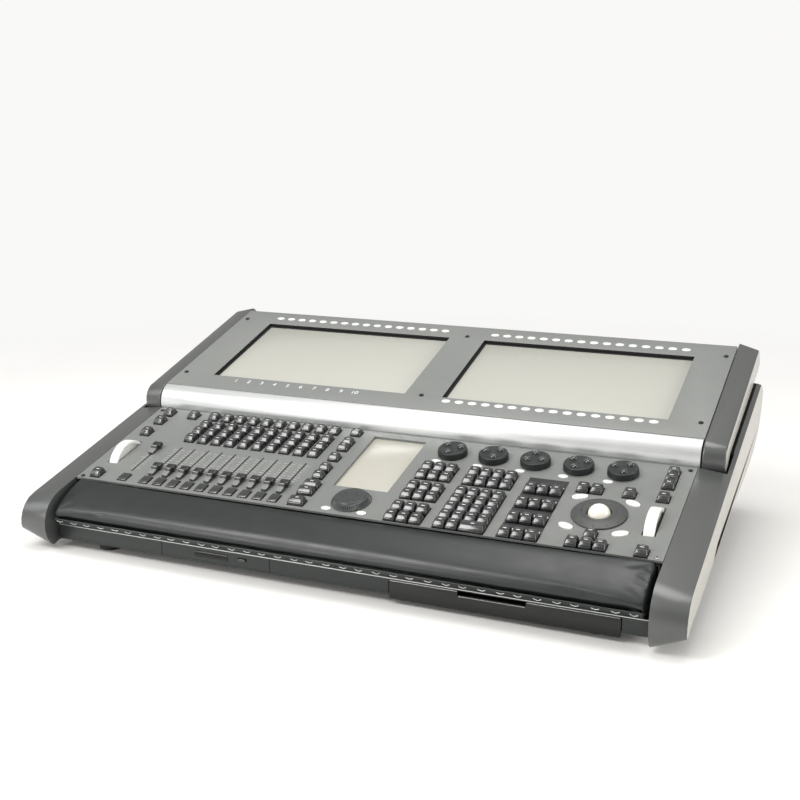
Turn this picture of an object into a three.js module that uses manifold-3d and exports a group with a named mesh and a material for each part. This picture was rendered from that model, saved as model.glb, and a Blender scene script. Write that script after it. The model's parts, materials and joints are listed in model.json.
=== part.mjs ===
// Lighting control desk: wedge base with key banks, faders and rotary controls,
// a padded palm rest, a keyboard drawer, and a tilting head with two screens.
// Millimetres. X to the operator's right, Y away from the operator, Z up.
// Origin: middle of the face the desk rests on.
//
// Three nested frames carry the pieces:
//   base   upright, origin at the middle of the control surface's front edge
//   slope  same origin, tilted so that z = 0 is the control surface
//   head   origin at the middle of the bezel's front edge, z = 0 is the bezel's face
import * as THREE from 'three';
import { mergeVertices } from 'three/addons/utils/BufferGeometryUtils.js';
import Module from 'manifold-3d';

const wasm = await Module();
wasm.setup();

const radians = (degrees) => degrees * Math.PI / 180;

// ---------- driving dimensions ----------
const PANEL_TILT = radians(13.77);  // slope of the control surface
const HEAD_TILT = radians(2.24);    // extra slope of the head over the control surface
const SURFACE_HEIGHT = 86;          // height of the control surface's front edge
const FRONT_Y = -225.27;            // where that edge lies in y
const SIDES = [-1, 1];              // operator's left, right

const PANEL = { halfWidth: 407.7, front: 0.4, rear: 216.5, thickness: 3 };
// End cheeks of the base: inner and outer faces, and how far the outer edge lies lower.
const CHEEK = { inner: 408.4, outer: 450, drop: 6 };
const LEDGE_DEPTH = 8;              // ledge the head's cheeks lie over
// Tilt axis of the head, on the slope at z = 0.
const HINGE = { y: 248, noseRadius: 28, troughRadius: 29.2, pinRadius: 4, eyeRadius: 9 };
const HEAD = { y: 246, z: 28, depth: 271, halfWidth: 410.6, bezelThickness: 5.5 };
const HEAD_CHEEK = { inner: 411.2, outer: 441 };
const SHELL = { halfWidth: 409.6, front: 16, rear: 269, bottom: -24, wall: 2 };
const SCREEN = { leftX: -349.2, rightX: 32.6, width: 323.4, front: 40, rear: 228 };

const KEY = { width: 15.8, length: 17.6, clearance: 0.7 };
const CAP = { bottom: -9.5, skirtTop: 2, sideTaper: 1.5 };
const STRIP = { firstX: -303, pitch: 22.3, count: 10 };
const MASTER_X = -338;
const SLOT = { front: 34, rear: 111, width: 2.4 };
const FADER_Y = 41;                 // centre of the strip fader caps as they stand
const MASTER_Y = 94;                // centre of the grand master's cap
const ENCODER = {
  firstX: 86, pitch: 58.4, y: 181.5, radius: 20.5, height: 9.4,
  turns: [19.4, 47.4, 98.4, 19.4, 47.4],  // degrees each knob is turned
};
const JOG = { x: 1.5, y: 34, radius: 26.5, height: 8.6 };
const WHEEL = { x: 380.5, y: 80, z: -25, radius: 39, width: 13.6, shaftRadius: 3 };
const WHEEL_OPENING = { halfWidth: 8.5, halfLength: 33 };
const BALL = { x: 314.2, y: 79.2, z: -0.5, radius: 14.2 };
const RING_RADIUS = 34.5;
const LCD = { left: -40.5, right: 38.2, front: 66, rear: 204 };  // its panel opening

const FLOOR_Z = -74;                // underside of the chassis, in the base frame
const SHEET = 2;                    // floor thickness of the chassis
const REAR_Y = 484.5;               // front face of the rear panel, in the base frame
const TRAY_HALF_WIDTH = 404;
const FEET = { x: 340, frontY: -20, rearY: 440, radius: 15, top: -74.4 };
const DRAWER = { left: 89.5, right: 373.5, front: -46, depth: 178, bottom: -79.5, top: -56.2 };

// ---------- solids ----------
// Closed triangle geometry -> Manifold solid
function solid(geometry) {
  const bare = new THREE.BufferGeometry();
  bare.setAttribute('position', geometry.attributes.position);
  bare.setIndex(geometry.index);
  const merged = mergeVertices(bare, 1e-4);
  return new wasm.Manifold(new wasm.Mesh({
    numProp: 3,
    vertProperties: new Float32Array(merged.attributes.position.array),
    triVerts: new Uint32Array(merged.index.array),
  }));
}

function toGeometry(manifold) {
  const mesh = manifold.getMesh();
  const geometry = new THREE.BufferGeometry();
  const positions = new Float32Array(mesh.vertProperties);
  geometry.setAttribute('position', new THREE.BufferAttribute(positions, 3));
  geometry.setIndex(new THREE.BufferAttribute(new Uint32Array(mesh.triVerts), 1));
  return geometry;
}

const union = (solids) => solids.reduce((whole, part) => whole.add(part));
const cut = (body, cutters) => cutters.reduce((rest, cutter) => rest.subtract(cutter), body);

function boxGeometry(x0, x1, y0, y1, z0, z1) {
  const geometry = new THREE.BoxGeometry(x1 - x0, y1 - y0, z1 - z0);
  geometry.translate((x0 + x1) / 2, (y0 + y1) / 2, (z0 + z1) / 2);
  return geometry;
}
const block = (...limits) => solid(boxGeometry(...limits));
// One block for each row of x0, x1, y0, y1, z0, z1
const blocks = (rows) => rows.map((limits) => block(...limits));
const squarePost = (x, y, half, z0, z1) => block(x - half, x + half, y - half, y + half, z0, z1);

// Swaps two corners of each triangle of a non-indexed geometry, turning it inside out
function flip(geometry) {
  const values = geometry.attributes.position.array;
  for (let i = 0; i < values.length; i += 9) {
    for (let k = 3; k < 6; k++) {
      [values[i + k], values[i + k + 3]] = [values[i + k + 3], values[i + k]];
    }
  }
}

function nearestIndex(points, y, z) {
  const distances = points.map((point) => Math.hypot(point[0] - y, point[1] - z));
  return distances.indexOf(Math.min(...distances));
}

// Closed outline in (y, z) at x0, joined point by point to endOutline at x1
function prismXGeometry(outline, x0, x1, endOutline = outline) {
  const shape = new THREE.Shape(outline.map(([y, z]) => new THREE.Vector2(y, z)));
  const geometry = new THREE.ExtrudeGeometry(shape, { depth: 1, bevelEnabled: false, steps: 1 });
  const position = geometry.attributes.position;
  for (let i = 0; i < position.count; i++) {
    const along = position.getZ(i);
    let point = [position.getX(i), position.getY(i)];
    if (along > 0.5) point = endOutline[nearestIndex(outline, ...point)];
    position.setXYZ(i, x0 + (x1 - x0) * along, ...point);
  }
  if (x1 < x0) flip(geometry);
  return geometry;
}
const prismX = (...args) => solid(prismXGeometry(...args));

function rodZ(x, y, radius, z0, z1, segments) {
  const geometry = new THREE.CylinderGeometry(radius, radius, z1 - z0, segments);
  geometry.rotateX(Math.PI / 2);
  geometry.translate(x, y, (z0 + z1) / 2);
  return solid(geometry);
}

function rodXGeometry(x0, x1, y, z, radius, segments) {
  const geometry = new THREE.CylinderGeometry(radius, radius, x1 - x0, segments);
  geometry.rotateZ(Math.PI / 2);
  geometry.translate((x0 + x1) / 2, y, z);
  return geometry;
}
const rodX = (...args) => solid(rodXGeometry(...args));

// Profile of [radius, z] turned about the line parallel to z through x, y
function lathe(profile, x, y, segments) {
  const points = profile.map(([radius, z]) => new THREE.Vector2(radius, z));
  const geometry = new THREE.LatheGeometry(points, segments);
  geometry.rotateX(Math.PI / 2);
  geometry.translate(x, y, 0);
  const turned = solid(geometry);
  if (turned.volume() >= 0) return turned;
  // the direction a profile is listed in can leave the surface inside out
  const reversed = geometry.toNonIndexed();
  flip(reversed);
  return solid(reversed);
}

// ---------- places ----------
// Slope coordinates (y, z) -> base coordinates
const up = (y, z) => [
  y * Math.cos(PANEL_TILT) - z * Math.sin(PANEL_TILT),
  y * Math.sin(PANEL_TILT) + z * Math.cos(PANEL_TILT),
];

// Head coordinates (y, z) -> slope coordinates
const headToSlope = (y, z) => [
  HEAD.y + y * Math.cos(HEAD_TILT) - z * Math.sin(HEAD_TILT),
  HEAD.z + y * Math.sin(HEAD_TILT) + z * Math.cos(HEAD_TILT),
];

// Points (y, z) about the tilt axis; angles in degrees from +Y towards +Z
function hingeArc(radius, from, to, steps) {
  return Array.from({ length: steps + 1 }, (_, i) => {
    const angle = radians(from + (to - from) * i / steps);
    return [HINGE.y + radius * Math.cos(angle), radius * Math.sin(angle)];
  });
}

// Limits in x between two distances from the middle, on one side
const sideSpan = (side, near, far) => (side < 0 ? [-far, -near] : [near, far]);

// Three places [x, y] evenly spaced round a centre
const threeAround = (x, y, radius, start) => [0, 1, 2].map((k) => {
  const angle = start + k * 2 * Math.PI / 3;
  return [x + radius * Math.cos(angle), y + radius * Math.sin(angle)];
});

const strips = Array.from({ length: STRIP.count }, (_, i) => STRIP.firstX + STRIP.pitch * i);
const faderXs = [MASTER_X, ...strips];
const encoderXs = ENCODER.turns.map((_, i) => ENCODER.firstX + ENCODER.pitch * i);

// ---------- key layout ----------
const key = (x, y, width = KEY.width, length = KEY.length) => ({ x, y, width, length });
const keyGrid = (xs, ys, width, length) => xs.flatMap((x) => ys.map((y) => key(x, y, width, length)));

// Cap styles: height, and how far the crown's front and rear edges draw in
const TALL_CAP = { height: 7.5, frontTaper: 5.2, rearTaper: 1.1 };
const LOW_CAP = { height: 3.4, frontTaper: 0.8, rearTaper: 1.1 };

const LEFT_X = -381.5;
const RIGHT_X = 381.2;
const FUNCTION_XS = [66.8, 83.6, 100.6];
const KEYPAD_XS = [132.8, 149.6, 166.4, 183.2];
const ASSIGN_XS = [216, 232.8, 249.5];

// windows: the keys that share each opening of the panel
// webs: x0, x1, y0, y1 of the strips under the panel that join a bank's keys
const KEY_BANKS = [
  {
    name: 'left_keys',
    windows: [...keyGrid([LEFT_X], [201, 174, 138, 14.5]), key(MASTER_X, 200)].map((k) => [k]),
    webs: [
      [-369.5, -361, 6, 209], [-389, -361, 194, 208], [-389, -361, 167, 181],
      [-389, -361, 131, 145], [-389, -361, 7, 21], [-369, -331, 194, 206],
    ],
  },
  {
    name: 'playback_keys',
    windows: strips.flatMap((x) => [keyGrid([x], [135, 155.5, 176]), keyGrid([x], [202])]),
    webs: [[-312, -95, 127, 210]],
  },
  {
    name: 'flash_keys',
    windows: faderXs.map((x) => [key(x + 0.5, 15.7, 14, 17.5)]),
    webs: [[-345, -97, 8, 23.5]],
    cap: LOW_CAP,
  },
  {
    name: 'centre_keys',
    windows: [
      ...[[204], [175.5, 159.5], [130.5], [102, 81]].map((ys) => keyGrid([-68.8], ys, KEY.width, 15.2)),
      ...[[57, 40], [14]].map((ys) => keyGrid([-67], ys, 22.6, 15.4)),
    ],
    webs: [[-76, -62, 7, 211]],
  },
  {
    name: 'function_keys',
    windows: [[137.5, 115.5], [85.5, 64.5], [34, 10.8]].map((ys) => keyGrid(FUNCTION_XS, ys)),
    webs: [[60, 107.5, 3, 145]],
  },
  {
    name: 'keypad_keys',
    windows: [
      keyGrid(KEYPAD_XS, [137.5, 115.5]),
      [
        ...keyGrid(KEYPAD_XS, [86, 67.5, 48.5, 29]),
        ...keyGrid(KEYPAD_XS.slice(0, 2), [10.2]),
        key(174.8, 10.2, 32.6),
      ],
    ],
    webs: [[126, 190, 3, 145]],
  },
  {
    name: 'assign_keys',
    windows: [116, 81, 45, 10.5].map((y) => keyGrid(ASSIGN_XS, [y])),
    webs: [[209, 256.5, 3, 124]],
  },
  {
    name: 'trackball_keys',
    windows: [
      keyGrid([280.2, 297.8], [132]), [key(339.2, 132)], [key(315.5, 31)],
      keyGrid([298.6, 315.5, 332.4], [10.2]),
    ],
    webs: [[262, 347, 125, 139], [262, 270, 4, 139], [262, 340, 4, 17], [309, 322, 4, 39]],
  },
  {
    name: 'right_keys',
    windows: [
      keyGrid([RIGHT_X], [196.5, 179.7, 162.7], KEY.width, 15.6),
      [key(RIGHT_X, 132)], [key(RIGHT_X, 10.4)],
    ],
    webs: [
      [361, 369, 4, 203], [361, 388, 190, 203], [361, 388, 174, 186],
      [361, 388, 156, 170], [361, 388, 125, 139], [361, 388, 4, 17],
    ],
  },
];

// Straight skirt through the panel, tapered crown leaning to the rear
function keycap({ x, y, width, length }, cap) {
  const [x0, x1, y0, y1] = [x - width / 2, x + width / 2, y - length / 2, y + length / 2];
  const crown = boxGeometry(x0, x1, y0, y1, CAP.skirtTop, cap.height);
  const position = crown.attributes.position;
  for (let i = 0; i < position.count; i++) {
    if (position.getZ(i) > cap.height - 0.01) {
      position.setX(i, position.getX(i) > x ? x1 - CAP.sideTaper : x0 + CAP.sideTaper);
      position.setY(i, position.getY(i) > y ? y1 - cap.rearTaper : y0 + cap.frontTaper);
    }
  }
  // the skirt runs a little into the crown so that the two join
  return union([block(x0, x1, y0, y1, CAP.bottom, CAP.skirtTop + 0.01), solid(crown)]);
}

function keyBank({ windows, webs, cap = TALL_CAP }) {
  return union([
    ...windows.flat().map((k) => keycap(k, cap)),
    ...webs.map((limits) => block(...limits, -11, -9)),
  ]);
}

// Opening round a group of keys: x0, x1, y0, y1
function keyWindow(keys) {
  return [
    Math.min(...keys.map((k) => k.x - k.width / 2)) - KEY.clearance,
    Math.max(...keys.map((k) => k.x + k.width / 2)) + KEY.clearance,
    Math.min(...keys.map((k) => k.y - k.length / 2)) - KEY.clearance,
    Math.max(...keys.map((k) => k.y + k.length / 2)) + KEY.clearance,
  ];
}

// ---------- oval buttons round the trackball ----------
// Centre x, y and turn in radians
const OVALS = [[280.9, 114, 0.41], [347.7, 113.7, -0.41], [281.6, 45.2, -0.41], [348.2, 44, 0.41]];
const OVAL = { length: 21, width: 11.6, clearance: 0.6, segments: 20 };

function ovalPrism([x, y, turn], grow, z0, z1) {
  const points = Array.from({ length: OVAL.segments }, (_, i) => {
    const angle = i / OVAL.segments * 2 * Math.PI;
    const along = (OVAL.length / 2 + grow) * Math.cos(angle);
    const across = (OVAL.width / 2 + grow) * Math.sin(angle);
    return new THREE.Vector2(
      x + along * Math.cos(turn) - across * Math.sin(turn),
      y + along * Math.sin(turn) + across * Math.cos(turn),
    );
  });
  const options = { depth: z1 - z0, bevelEnabled: false, steps: 1 };
  const geometry = new THREE.ExtrudeGeometry(new THREE.Shape(points), options);
  geometry.translate(0, 0, z0);
  return solid(geometry);
}

function ovalButtons() {
  const web = block(271, 358, 41, 122.4, -7, -5.8).subtract(block(286.5, 342, 51.5, 107, -9, -3));
  return union([web, ...OVALS.map((oval) => ovalPrism(oval, 0, -7, 1.4))]);
}

// ---------- control panel and rear deck ----------
function controlPanel() {
  const z0 = -PANEL.thickness - 1;
  const z1 = 1;
  const openings = [
    ...KEY_BANKS.flatMap(({ windows }) => windows.map(keyWindow)),
    ...faderXs.map((x) => [x - SLOT.width / 2, x + SLOT.width / 2, SLOT.front, SLOT.rear]),
    ...SIDES.map((side) => [
      side * WHEEL.x - WHEEL_OPENING.halfWidth, side * WHEEL.x + WHEEL_OPENING.halfWidth,
      WHEEL.y - WHEEL_OPENING.halfLength, WHEEL.y + WHEEL_OPENING.halfLength,
    ]),
    [LCD.left, LCD.right, LCD.front, LCD.rear],
  ];
  const { halfWidth, front, rear, thickness } = PANEL;
  const plate = cut(block(-halfWidth, halfWidth, front, rear, -thickness, 0), [
    ...openings.map((limits) => block(...limits, z0, z1)),
    ...encoderXs.map((x) => rodZ(x, ENCODER.y, 5, z0, z1, 12)),
    rodZ(JOG.x, JOG.y, 6, z0, z1, 12),
    rodZ(BALL.x, BALL.y, 24, z0, z1, 32),
    ...OVALS.map((oval) => ovalPrism(oval, OVAL.clearance, z0, z1)),
    // shallow pocket round the assign keys
    block(206.6, 258.9, 1.2, 146, -1.2, 1),
  ]);
  return union([plate, ...SIDES.flatMap((side) => SIDES.map((end) => wheelEar(side, end)))]);
}

// Ear under the panel that carries one end of a thumb wheel's shaft
function wheelEar(side, end) {
  const [x0, x1] = sideSpan(end, 8.6, 10.6).map((x) => side * WHEEL.x + x);
  const top = -PANEL.thickness + 0.5;
  return block(x0, x1, WHEEL.y - 6, WHEEL.y + 6, WHEEL.z - 6, top)
    .subtract(rodX(x0 - 1, x1 + 1, WHEEL.y, WHEEL.z, WHEEL.shaftRadius + 0.1, 16));
}

// Deck with the trough for the head's nose, and ears in the trough for the head's pins
function rearDeck() {
  const deck = [
    ...hingeArc(HINGE.troughRadius, 180, 360, 18),
    [497, 0], [497, -2.5],
    ...hingeArc(HINGE.troughRadius + 2, 355, 180, 18),
  ];
  const earOutline = [
    ...hingeArc(HINGE.eyeRadius, -30, 210, 14),
    [HINGE.y - 7, -30], [HINGE.y + 7, -30],
  ];
  const ears = SIDES.map((side) => {
    const [x0, x1] = sideSpan(side, 330, 336.4);
    return prismX(earOutline, x0, x1)
      .subtract(rodX(x0 - 1, x1 + 1, HINGE.y, 0, HINGE.pinRadius + 0.1, 24));
  });
  return union([prismX(deck, -PANEL.halfWidth, PANEL.halfWidth), ...ears]);
}

// ---------- chassis ----------
function baseTray() {
  const rear = 483;
  const wall = [
    [-40, FLOOR_Z], [rear, FLOOR_Z], up(490, -3), up(283, -3), up(280, -34), up(212, -34),
    up(208, -3.5), up(4, -3.5), [-1, -56], [-40, -56],
  ];
  return union([
    block(-TRAY_HALF_WIDTH, TRAY_HALF_WIDTH, -40, rear, FLOOR_Z, FLOOR_Z + SHEET),
    ...SIDES.map((side) => prismX(wall, ...sideSpan(side, TRAY_HALF_WIDTH - 2, TRAY_HALF_WIDTH))),
  ]);
}

function rearPanel() {
  // x0, width, z0, z1
  const openings = [
    ...Array.from({ length: 8 }, (_, i) => [-330 + i * 42, 24, 10, 34]),
    ...Array.from({ length: 6 }, (_, i) => [40 + i * 34, 18, 6, 16]),
    [300, 50, -30, 4],  // power supply
    [359, 16, -26, 0],  // power switch
  ];
  return cut(
    block(-402, 402, REAR_Y, REAR_Y + 2.5, FLOOR_Z, 116),
    openings.map(([x, width, z0, z1]) => block(x, x + width, REAR_Y - 1, REAR_Y + 4, z0, z1)),
  );
}

function frontFascia() {
  return cut(block(-405, 405, -46.5, -43.8, FLOOR_Z, -53), blocks([
    [DRAWER.left - 1, DRAWER.right + 1, -50, -40, -90, -55.4],
    [-187, -137, -50, -40, -67.6, -59],  // media drive
    [-122, -110, -50, -40, -64.4, -60],  // eject button
  ]));
}

function drawerRunners() {
  return union(blocks([
    [83.5, 86, -40, 150, -71.6, -58],
    [377, 379.5, -40, 150, -71.6, -58],
    [83.5, 379.5, 146, 150, -71.6, -66],
  ]));
}

// Body, nose through the fascia and a side block with the eject button's pocket
function mediaDrive() {
  return union(blocks([
    [-200, -126.5, -43.2, 96, -70, -57],
    [-186.6, -137.4, -46.6, -43, -67.2, -59.4],
    [-127, -104, -43.2, -20, -68, -58],
  ])).subtract(block(-121.9, -110.1, -44, -35, -64.3, -60.1));
}

function powerSupply() {
  return union(blocks([
    [190, 380, 330, 450, -71.6, -24],
    [300.5, 349.5, 449, REAR_Y + 2, -29.5, 3.5],
  ]));
}

function powerSwitch() {
  const rocker = [
    [REAR_Y - 8, -23], [REAR_Y + 2.8, -23.6], [REAR_Y + 4.8, -13], [REAR_Y + 7.2, -2.4],
    [REAR_Y - 5, -2.4],
  ];
  return prismX(rocker, 360.5, 373.5);
}

// Board with four blocks on it and a post under each corner
function mainBoard() {
  return union([
    ...blocks([
      [-200, 120, 200, 450, -62, -60],
      [-150, -90, 300, 360, -60.5, -40],
      [-40, 80, 250, 262, -60.5, -34],
      [-40, 80, 275, 287, -60.5, -34],
      [20, 60, 330, 370, -60.5, -48],
    ]),
    ...[210, 440].flatMap((y) => [-190, 110].map((x) => squarePost(x, y, 4, -71.6, -61.5))),
  ]);
}

// Two round feet joined by a bar
function footPair(y) {
  return union([
    block(-FEET.x, FEET.x, y - 3, y + 3, -77, FEET.top),
    ...SIDES.map((side) => rodZ(side * FEET.x, y, FEET.radius, -SURFACE_HEIGHT, FEET.top, 24)),
  ]);
}

// ---------- end cheeks of the base ----------
const dropped = (y, z) => up(y, z - CHEEK.drop);
// Stations round the outline: (y, z) on the inner face, (y, z) on the outer face
const CHEEK_STATIONS = [
  [up(500, 0), dropped(486, 0)],
  [up(-38, 0), dropped(-40, 0)],
  [up(-52, -2.2), up(-54, -7.4)],
  [up(-64, -7.5), up(-64, -12)],
  [up(-73, -15.5), up(-71.5, -18.5)],
  [up(-79, -26), up(-77, -27)],
  [up(-82, -38), up(-79.5, -35)],
  [up(-81.5, -50), up(-79.5, -40)],
  [up(-78, -60), up(-77.5, -43)],
  [up(-73, -65.5), up(-74, -44.5)],
  [[-45, -78], [-45, -54.5]],
  [[0, -74], [0, -48]],
  [[44, -74], [44, -41]],
  [[101, -74], [101, -29]],
  [[113, -74], [112.5, -20]],
  [[123, -74], [123, -14]],
  [[215, -74], [215, 0]],
  [[270, -74], [270, -2]],
  [[322, -74], [322, 2]],
  [[380, -74], [380, 10]],
  [[439, -74], [439, 23]],
  [[478, -74], [468, 37]],
  [[492, -62], [486, 52]],
  [[500, -20], [497, 70]],
  [[503, 40], [501, 86]],
  [[502, 90], [499, 96]],
  [[496, 112], [487, 104.5]],
];

// Solid between stations on a cheek's inner and outer faces
function stationPrism(stations, side, { inner, outer }) {
  const [innerOutline, outerOutline] = [0, 1].map((face) => stations.map((pair) => pair[face]));
  return prismX(innerOutline, side * inner, side * outer, outerOutline);
}

function baseCheek(side) {
  const near = CHEEK.inner - 2;
  const trough = rodXGeometry(...sideSpan(side, near, 444.2), HINGE.y, 0, HINGE.troughRadius, 36);
  // the ledge under the head's cheek lies a little lower than the outer wall
  const ledge = boxGeometry(...sideSpan(side, near, 443.4), HINGE.y, 520, -LEDGE_DEPTH, 30);
  trough.rotateX(PANEL_TILT);
  ledge.rotateX(PANEL_TILT);
  return stationPrism(CHEEK_STATIONS, side, CHEEK).subtract(solid(trough).add(solid(ledge)));
}

// ---------- palm rest and drawer ----------
// (y, z) from the panel's edge over the front and back underneath
const PALM_REST_OUTLINE = [
  [-1.2, -0.6], [-9, -1.8], [-20, -5.2], [-31, -10], [-42, -16], [-52, -22.5], [-59, -28.5],
  [-62.2, -33.5], [-61.5, -38.5], [-57.5, -43.5], [-51, -49.5], [-47, -50.5], [-1.2, -50.5],
];

function keyboardDrawer() {
  const { left, right, front, depth, bottom, top } = DRAWER;
  const rear = front + depth;
  // front plate with a notch in its top edge
  const plate = block(left, right, front - 1, front + 2, bottom, top)
    .subtract(block(178, 262, front - 3, front + 4, top - 6, top + 2));
  const tray = union(blocks([
    [left + 1.5, right - 1.5, front + 1.9, rear, -71.4, -70],
    [left + 1.5, left + 3, front + 1.9, rear, -71.4, -60],
    [right - 3, right - 1.5, front + 1.9, rear, -71.4, -60],
    [left + 1.5, right - 1.5, rear - 1.5, rear, -71.4, -60],
  ]));
  return union([plate, tray]);
}

// Flat body with one long block for each row of keys
function keyboard() {
  const rows = Array.from({ length: 5 }, (_, i) => {
    const y = -24 + i * 22;
    return block(DRAWER.left + 14, DRAWER.right - 14, y, y + 18, -65.1, -62);
  });
  return union([block(DRAWER.left + 7, DRAWER.right - 7, -36, 92, -69.6, -65), ...rows]);
}

// ---------- faders ----------
// (y from the cap's centre, z)
const FADER_CAP = [
  [-13, 0.8], [13, 0.8], [13, 6.4], [11.5, 8], [4.5, 8.2], [2, 7.2], [-1.5, 8.4], [-5, 7.6],
  [-7, 4.6], [-11.5, 4], [-13, 2.6],
];
const FADER_REAR_BLOCK = [
  [2.6, 3.2], [13, 3.2], [12.6, 7.4], [10.4, 8.6], [4.4, 8.2], [2.6, 7.6],
];

function fader(x, y) {
  const prism = (profile, halfWidth) => prismX(
    profile.map(([dy, z]) => [y + dy, z]), x - halfWidth, x + halfWidth,
  );
  const stem = block(x - 0.6, x + 0.6, y - 4, y + 4, -3.6, 1);
  return union([prism(FADER_CAP, 4.6), prism(FADER_REAR_BLOCK, 6.3), stem]);
}

// Plate under the panel with a body below each fader
function faderBank() {
  return union([
    block(-345, -97, 27, 122, -20, -18),
    ...faderXs.map((x) => block(x - 5.5, x + 5.5, 28, 121, -18.5, -4.4)),
  ]);
}

// ---------- rotary controls ----------
// Knob on a shaft, with three domes on top
function encoder(centreX, turn) {
  const { y: centreY, radius, height } = ENCODER;
  const body = lathe([
    [0, -8], [3.5, -8], [3.5, 0.7], [radius, 0.7], [radius, 2.2],
    [19.4, height - 1.2], [18.4, height], [0, height],
  ], centreX, centreY, 24);
  const dome = [
    [0, height - 1], [4.5, height - 1], [4.5, height + 0.9], [2.9, height + 2.8],
    [0, height + 3.4],
  ];
  const domes = threeAround(centreX, centreY, 11.5, turn).map(([x, y]) => lathe(dome, x, y, 8));
  return union([body, ...domes]);
}

// Wide knob on a shaft, with three dimples in its top
function jogWheel() {
  const { radius, height } = JOG;
  const body = lathe([
    [0, -8], [4, -8], [4, 0.7], [radius, 0.7], [radius, 2], [21.6, 6.9], [20.2, 7.1],
    [19.4, height - 0.6], [18.6, height], [0, height],
  ], JOG.x, JOG.y, 32);
  const dimple = [[0, height - 1.6], [4.4, height - 0.9], [4.9, height + 1], [0, height + 1]];
  return cut(body, threeAround(JOG.x, JOG.y, 11.4, 0.864).map(([x, y]) => lathe(dimple, x, y, 12)));
}

function thumbwheel(side) {
  const x = side * WHEEL.x;
  const rod = (half, radius, segments) => rodX(x - half, x + half, WHEEL.y, WHEEL.z, radius, segments);
  return union([rod(WHEEL.width / 2, WHEEL.radius, 56), rod(10.4, WHEEL.shaftRadius, 16)]);
}

// ---------- trackball ----------
function trackball() {
  const geometry = new THREE.SphereGeometry(BALL.radius, 24, 14);
  geometry.rotateX(Math.PI / 2);
  geometry.translate(BALL.x, BALL.y, BALL.z);
  return solid(geometry);
}

function trackballRing() {
  return lathe([
    [14.9, 3.4], [15.7, 0.7], [RING_RADIUS, 0.7], [RING_RADIUS, 1.6], [33.4, 2.4], [23.2, 4.6],
    [22.2, 4.5], [21.6, 3.7], [15.2, 3.7], [14.9, 3.4],
  ], BALL.x, BALL.y, 36);
}

// Cup with a bowl round the lower half of the ball and a hole through its bottom
function trackballCup() {
  const bowl = BALL.radius + 0.8;
  const [outer, hole, top, bottom] = [23, 6, -3.6, -27];
  const rim = [bowl - 0.1, top];
  const curve = [56, 42, 28, 14].map(radians)
    .map((angle) => [bowl * Math.cos(angle), BALL.z - bowl * Math.sin(angle)]);
  return lathe([
    rim, [outer, top], [outer, bottom], [hole, bottom],
    [hole, BALL.z - Math.sqrt(bowl ** 2 - hole ** 2)],
    ...curve, rim,
  ], BALL.x, BALL.y, 24);
}

// ---------- display and board under the panel ----------
function panelLcd() {
  return union(blocks([
    [LCD.left - 2, LCD.right + 2, LCD.front - 4, LCD.rear + 4, -7, -3.4],
    [-38, 36, 70, 200, -14, -6.9],
  ]));
}

// Board with a post under each knob and a round hole for the trackball cup
function controlBoard() {
  const knobs = [[JOG.x, JOG.y], ...encoderXs.map((x) => [x, ENCODER.y])];
  return union([
    ...blocks([[56, 360, 4, 212, -20, -18.4], [-14, 58, 20, 48, -20, -18.4]]),
    ...knobs.map(([x, y]) => squarePost(x, y, 8, -18.6, -9)),
  ]).subtract(rodZ(BALL.x, BALL.y, 28, -30, -10, 32));
}

// ---------- head ----------
function headBezel() {
  const { halfWidth, depth, bezelThickness } = HEAD;
  return cut(
    block(-halfWidth, halfWidth, 0.6, depth, -bezelThickness, 0),
    [SCREEN.leftX, SCREEN.rightX].map((x) => block(
      x, x + SCREEN.width, SCREEN.front, SCREEN.rear, -bezelThickness - 1, 1,
    )),
  );
}

// Glass behind the bezel, with a smaller body under it
function screen(x) {
  const { width, front, rear } = SCREEN;
  return union(blocks([
    [x - 3, x + width + 3, front - 3, rear + 3, -9, -HEAD.bezelThickness - 0.3],
    [x + 4, x + width - 4, front + 4, rear - 4, -19, -8.9],
  ]));
}

// An eye on the tilt axis with its pin, and an arm under the shell floor
function hingeLeaf(side) {
  const slopeToHead = new THREE.Matrix4().makeRotationX(-HEAD_TILT)
    .multiply(new THREE.Matrix4().makeTranslation(0, -HEAD.y, -HEAD.z));
  const outline = [
    ...hingeArc(HINGE.eyeRadius, 60, 270, 12),
    [262, -3], [276, 1.5], [276, 5.4], [262, 4.9],
  ];
  const leaf = prismXGeometry(outline, ...sideSpan(side, 338, 344));
  const pin = rodXGeometry(...sideSpan(side, 328, 341), HINGE.y, 0, HINGE.pinRadius, 24);
  return [leaf, pin].map((geometry) => solid(geometry.applyMatrix4(slopeToHead)));
}

function headShell() {
  const { halfWidth, front, rear, bottom, wall } = SHELL;
  const top = -HEAD.bezelThickness - 0.4;
  const inside = halfWidth - wall;
  const shell = union([
    ...blocks([
      [-halfWidth, halfWidth, front, rear, bottom, bottom + wall],
      [-halfWidth, -inside, front, rear, bottom, top],
      [inside, halfWidth, front, rear, bottom, top],
      [-halfWidth, halfWidth, rear - wall, rear, bottom, top],
    ]),
    ...[-300, 0, 300].map((x) => rodZ(x, 258, 4, bottom, top, 12)),
    block(-4, 4, 20, 262, bottom, -20),
    ...SIDES.flatMap(hingeLeaf),
  ]);
  // row of slots through the rear wall
  return cut(shell, Array.from({ length: 14 }, (_, i) => {
    const x = -360 + i * 52;
    return block(x, x + 30, 264, 272, -18, -12);
  }));
}

// Curved strip over the front of the nose
function silverBar() {
  const section = [
    ...hingeArc(HINGE.noseRadius, 96, 188, 14),
    ...hingeArc(HINGE.noseRadius - 2.8, 188, 96, 14),
  ];
  return prismX(section, -409.6, 409.6);
}

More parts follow.
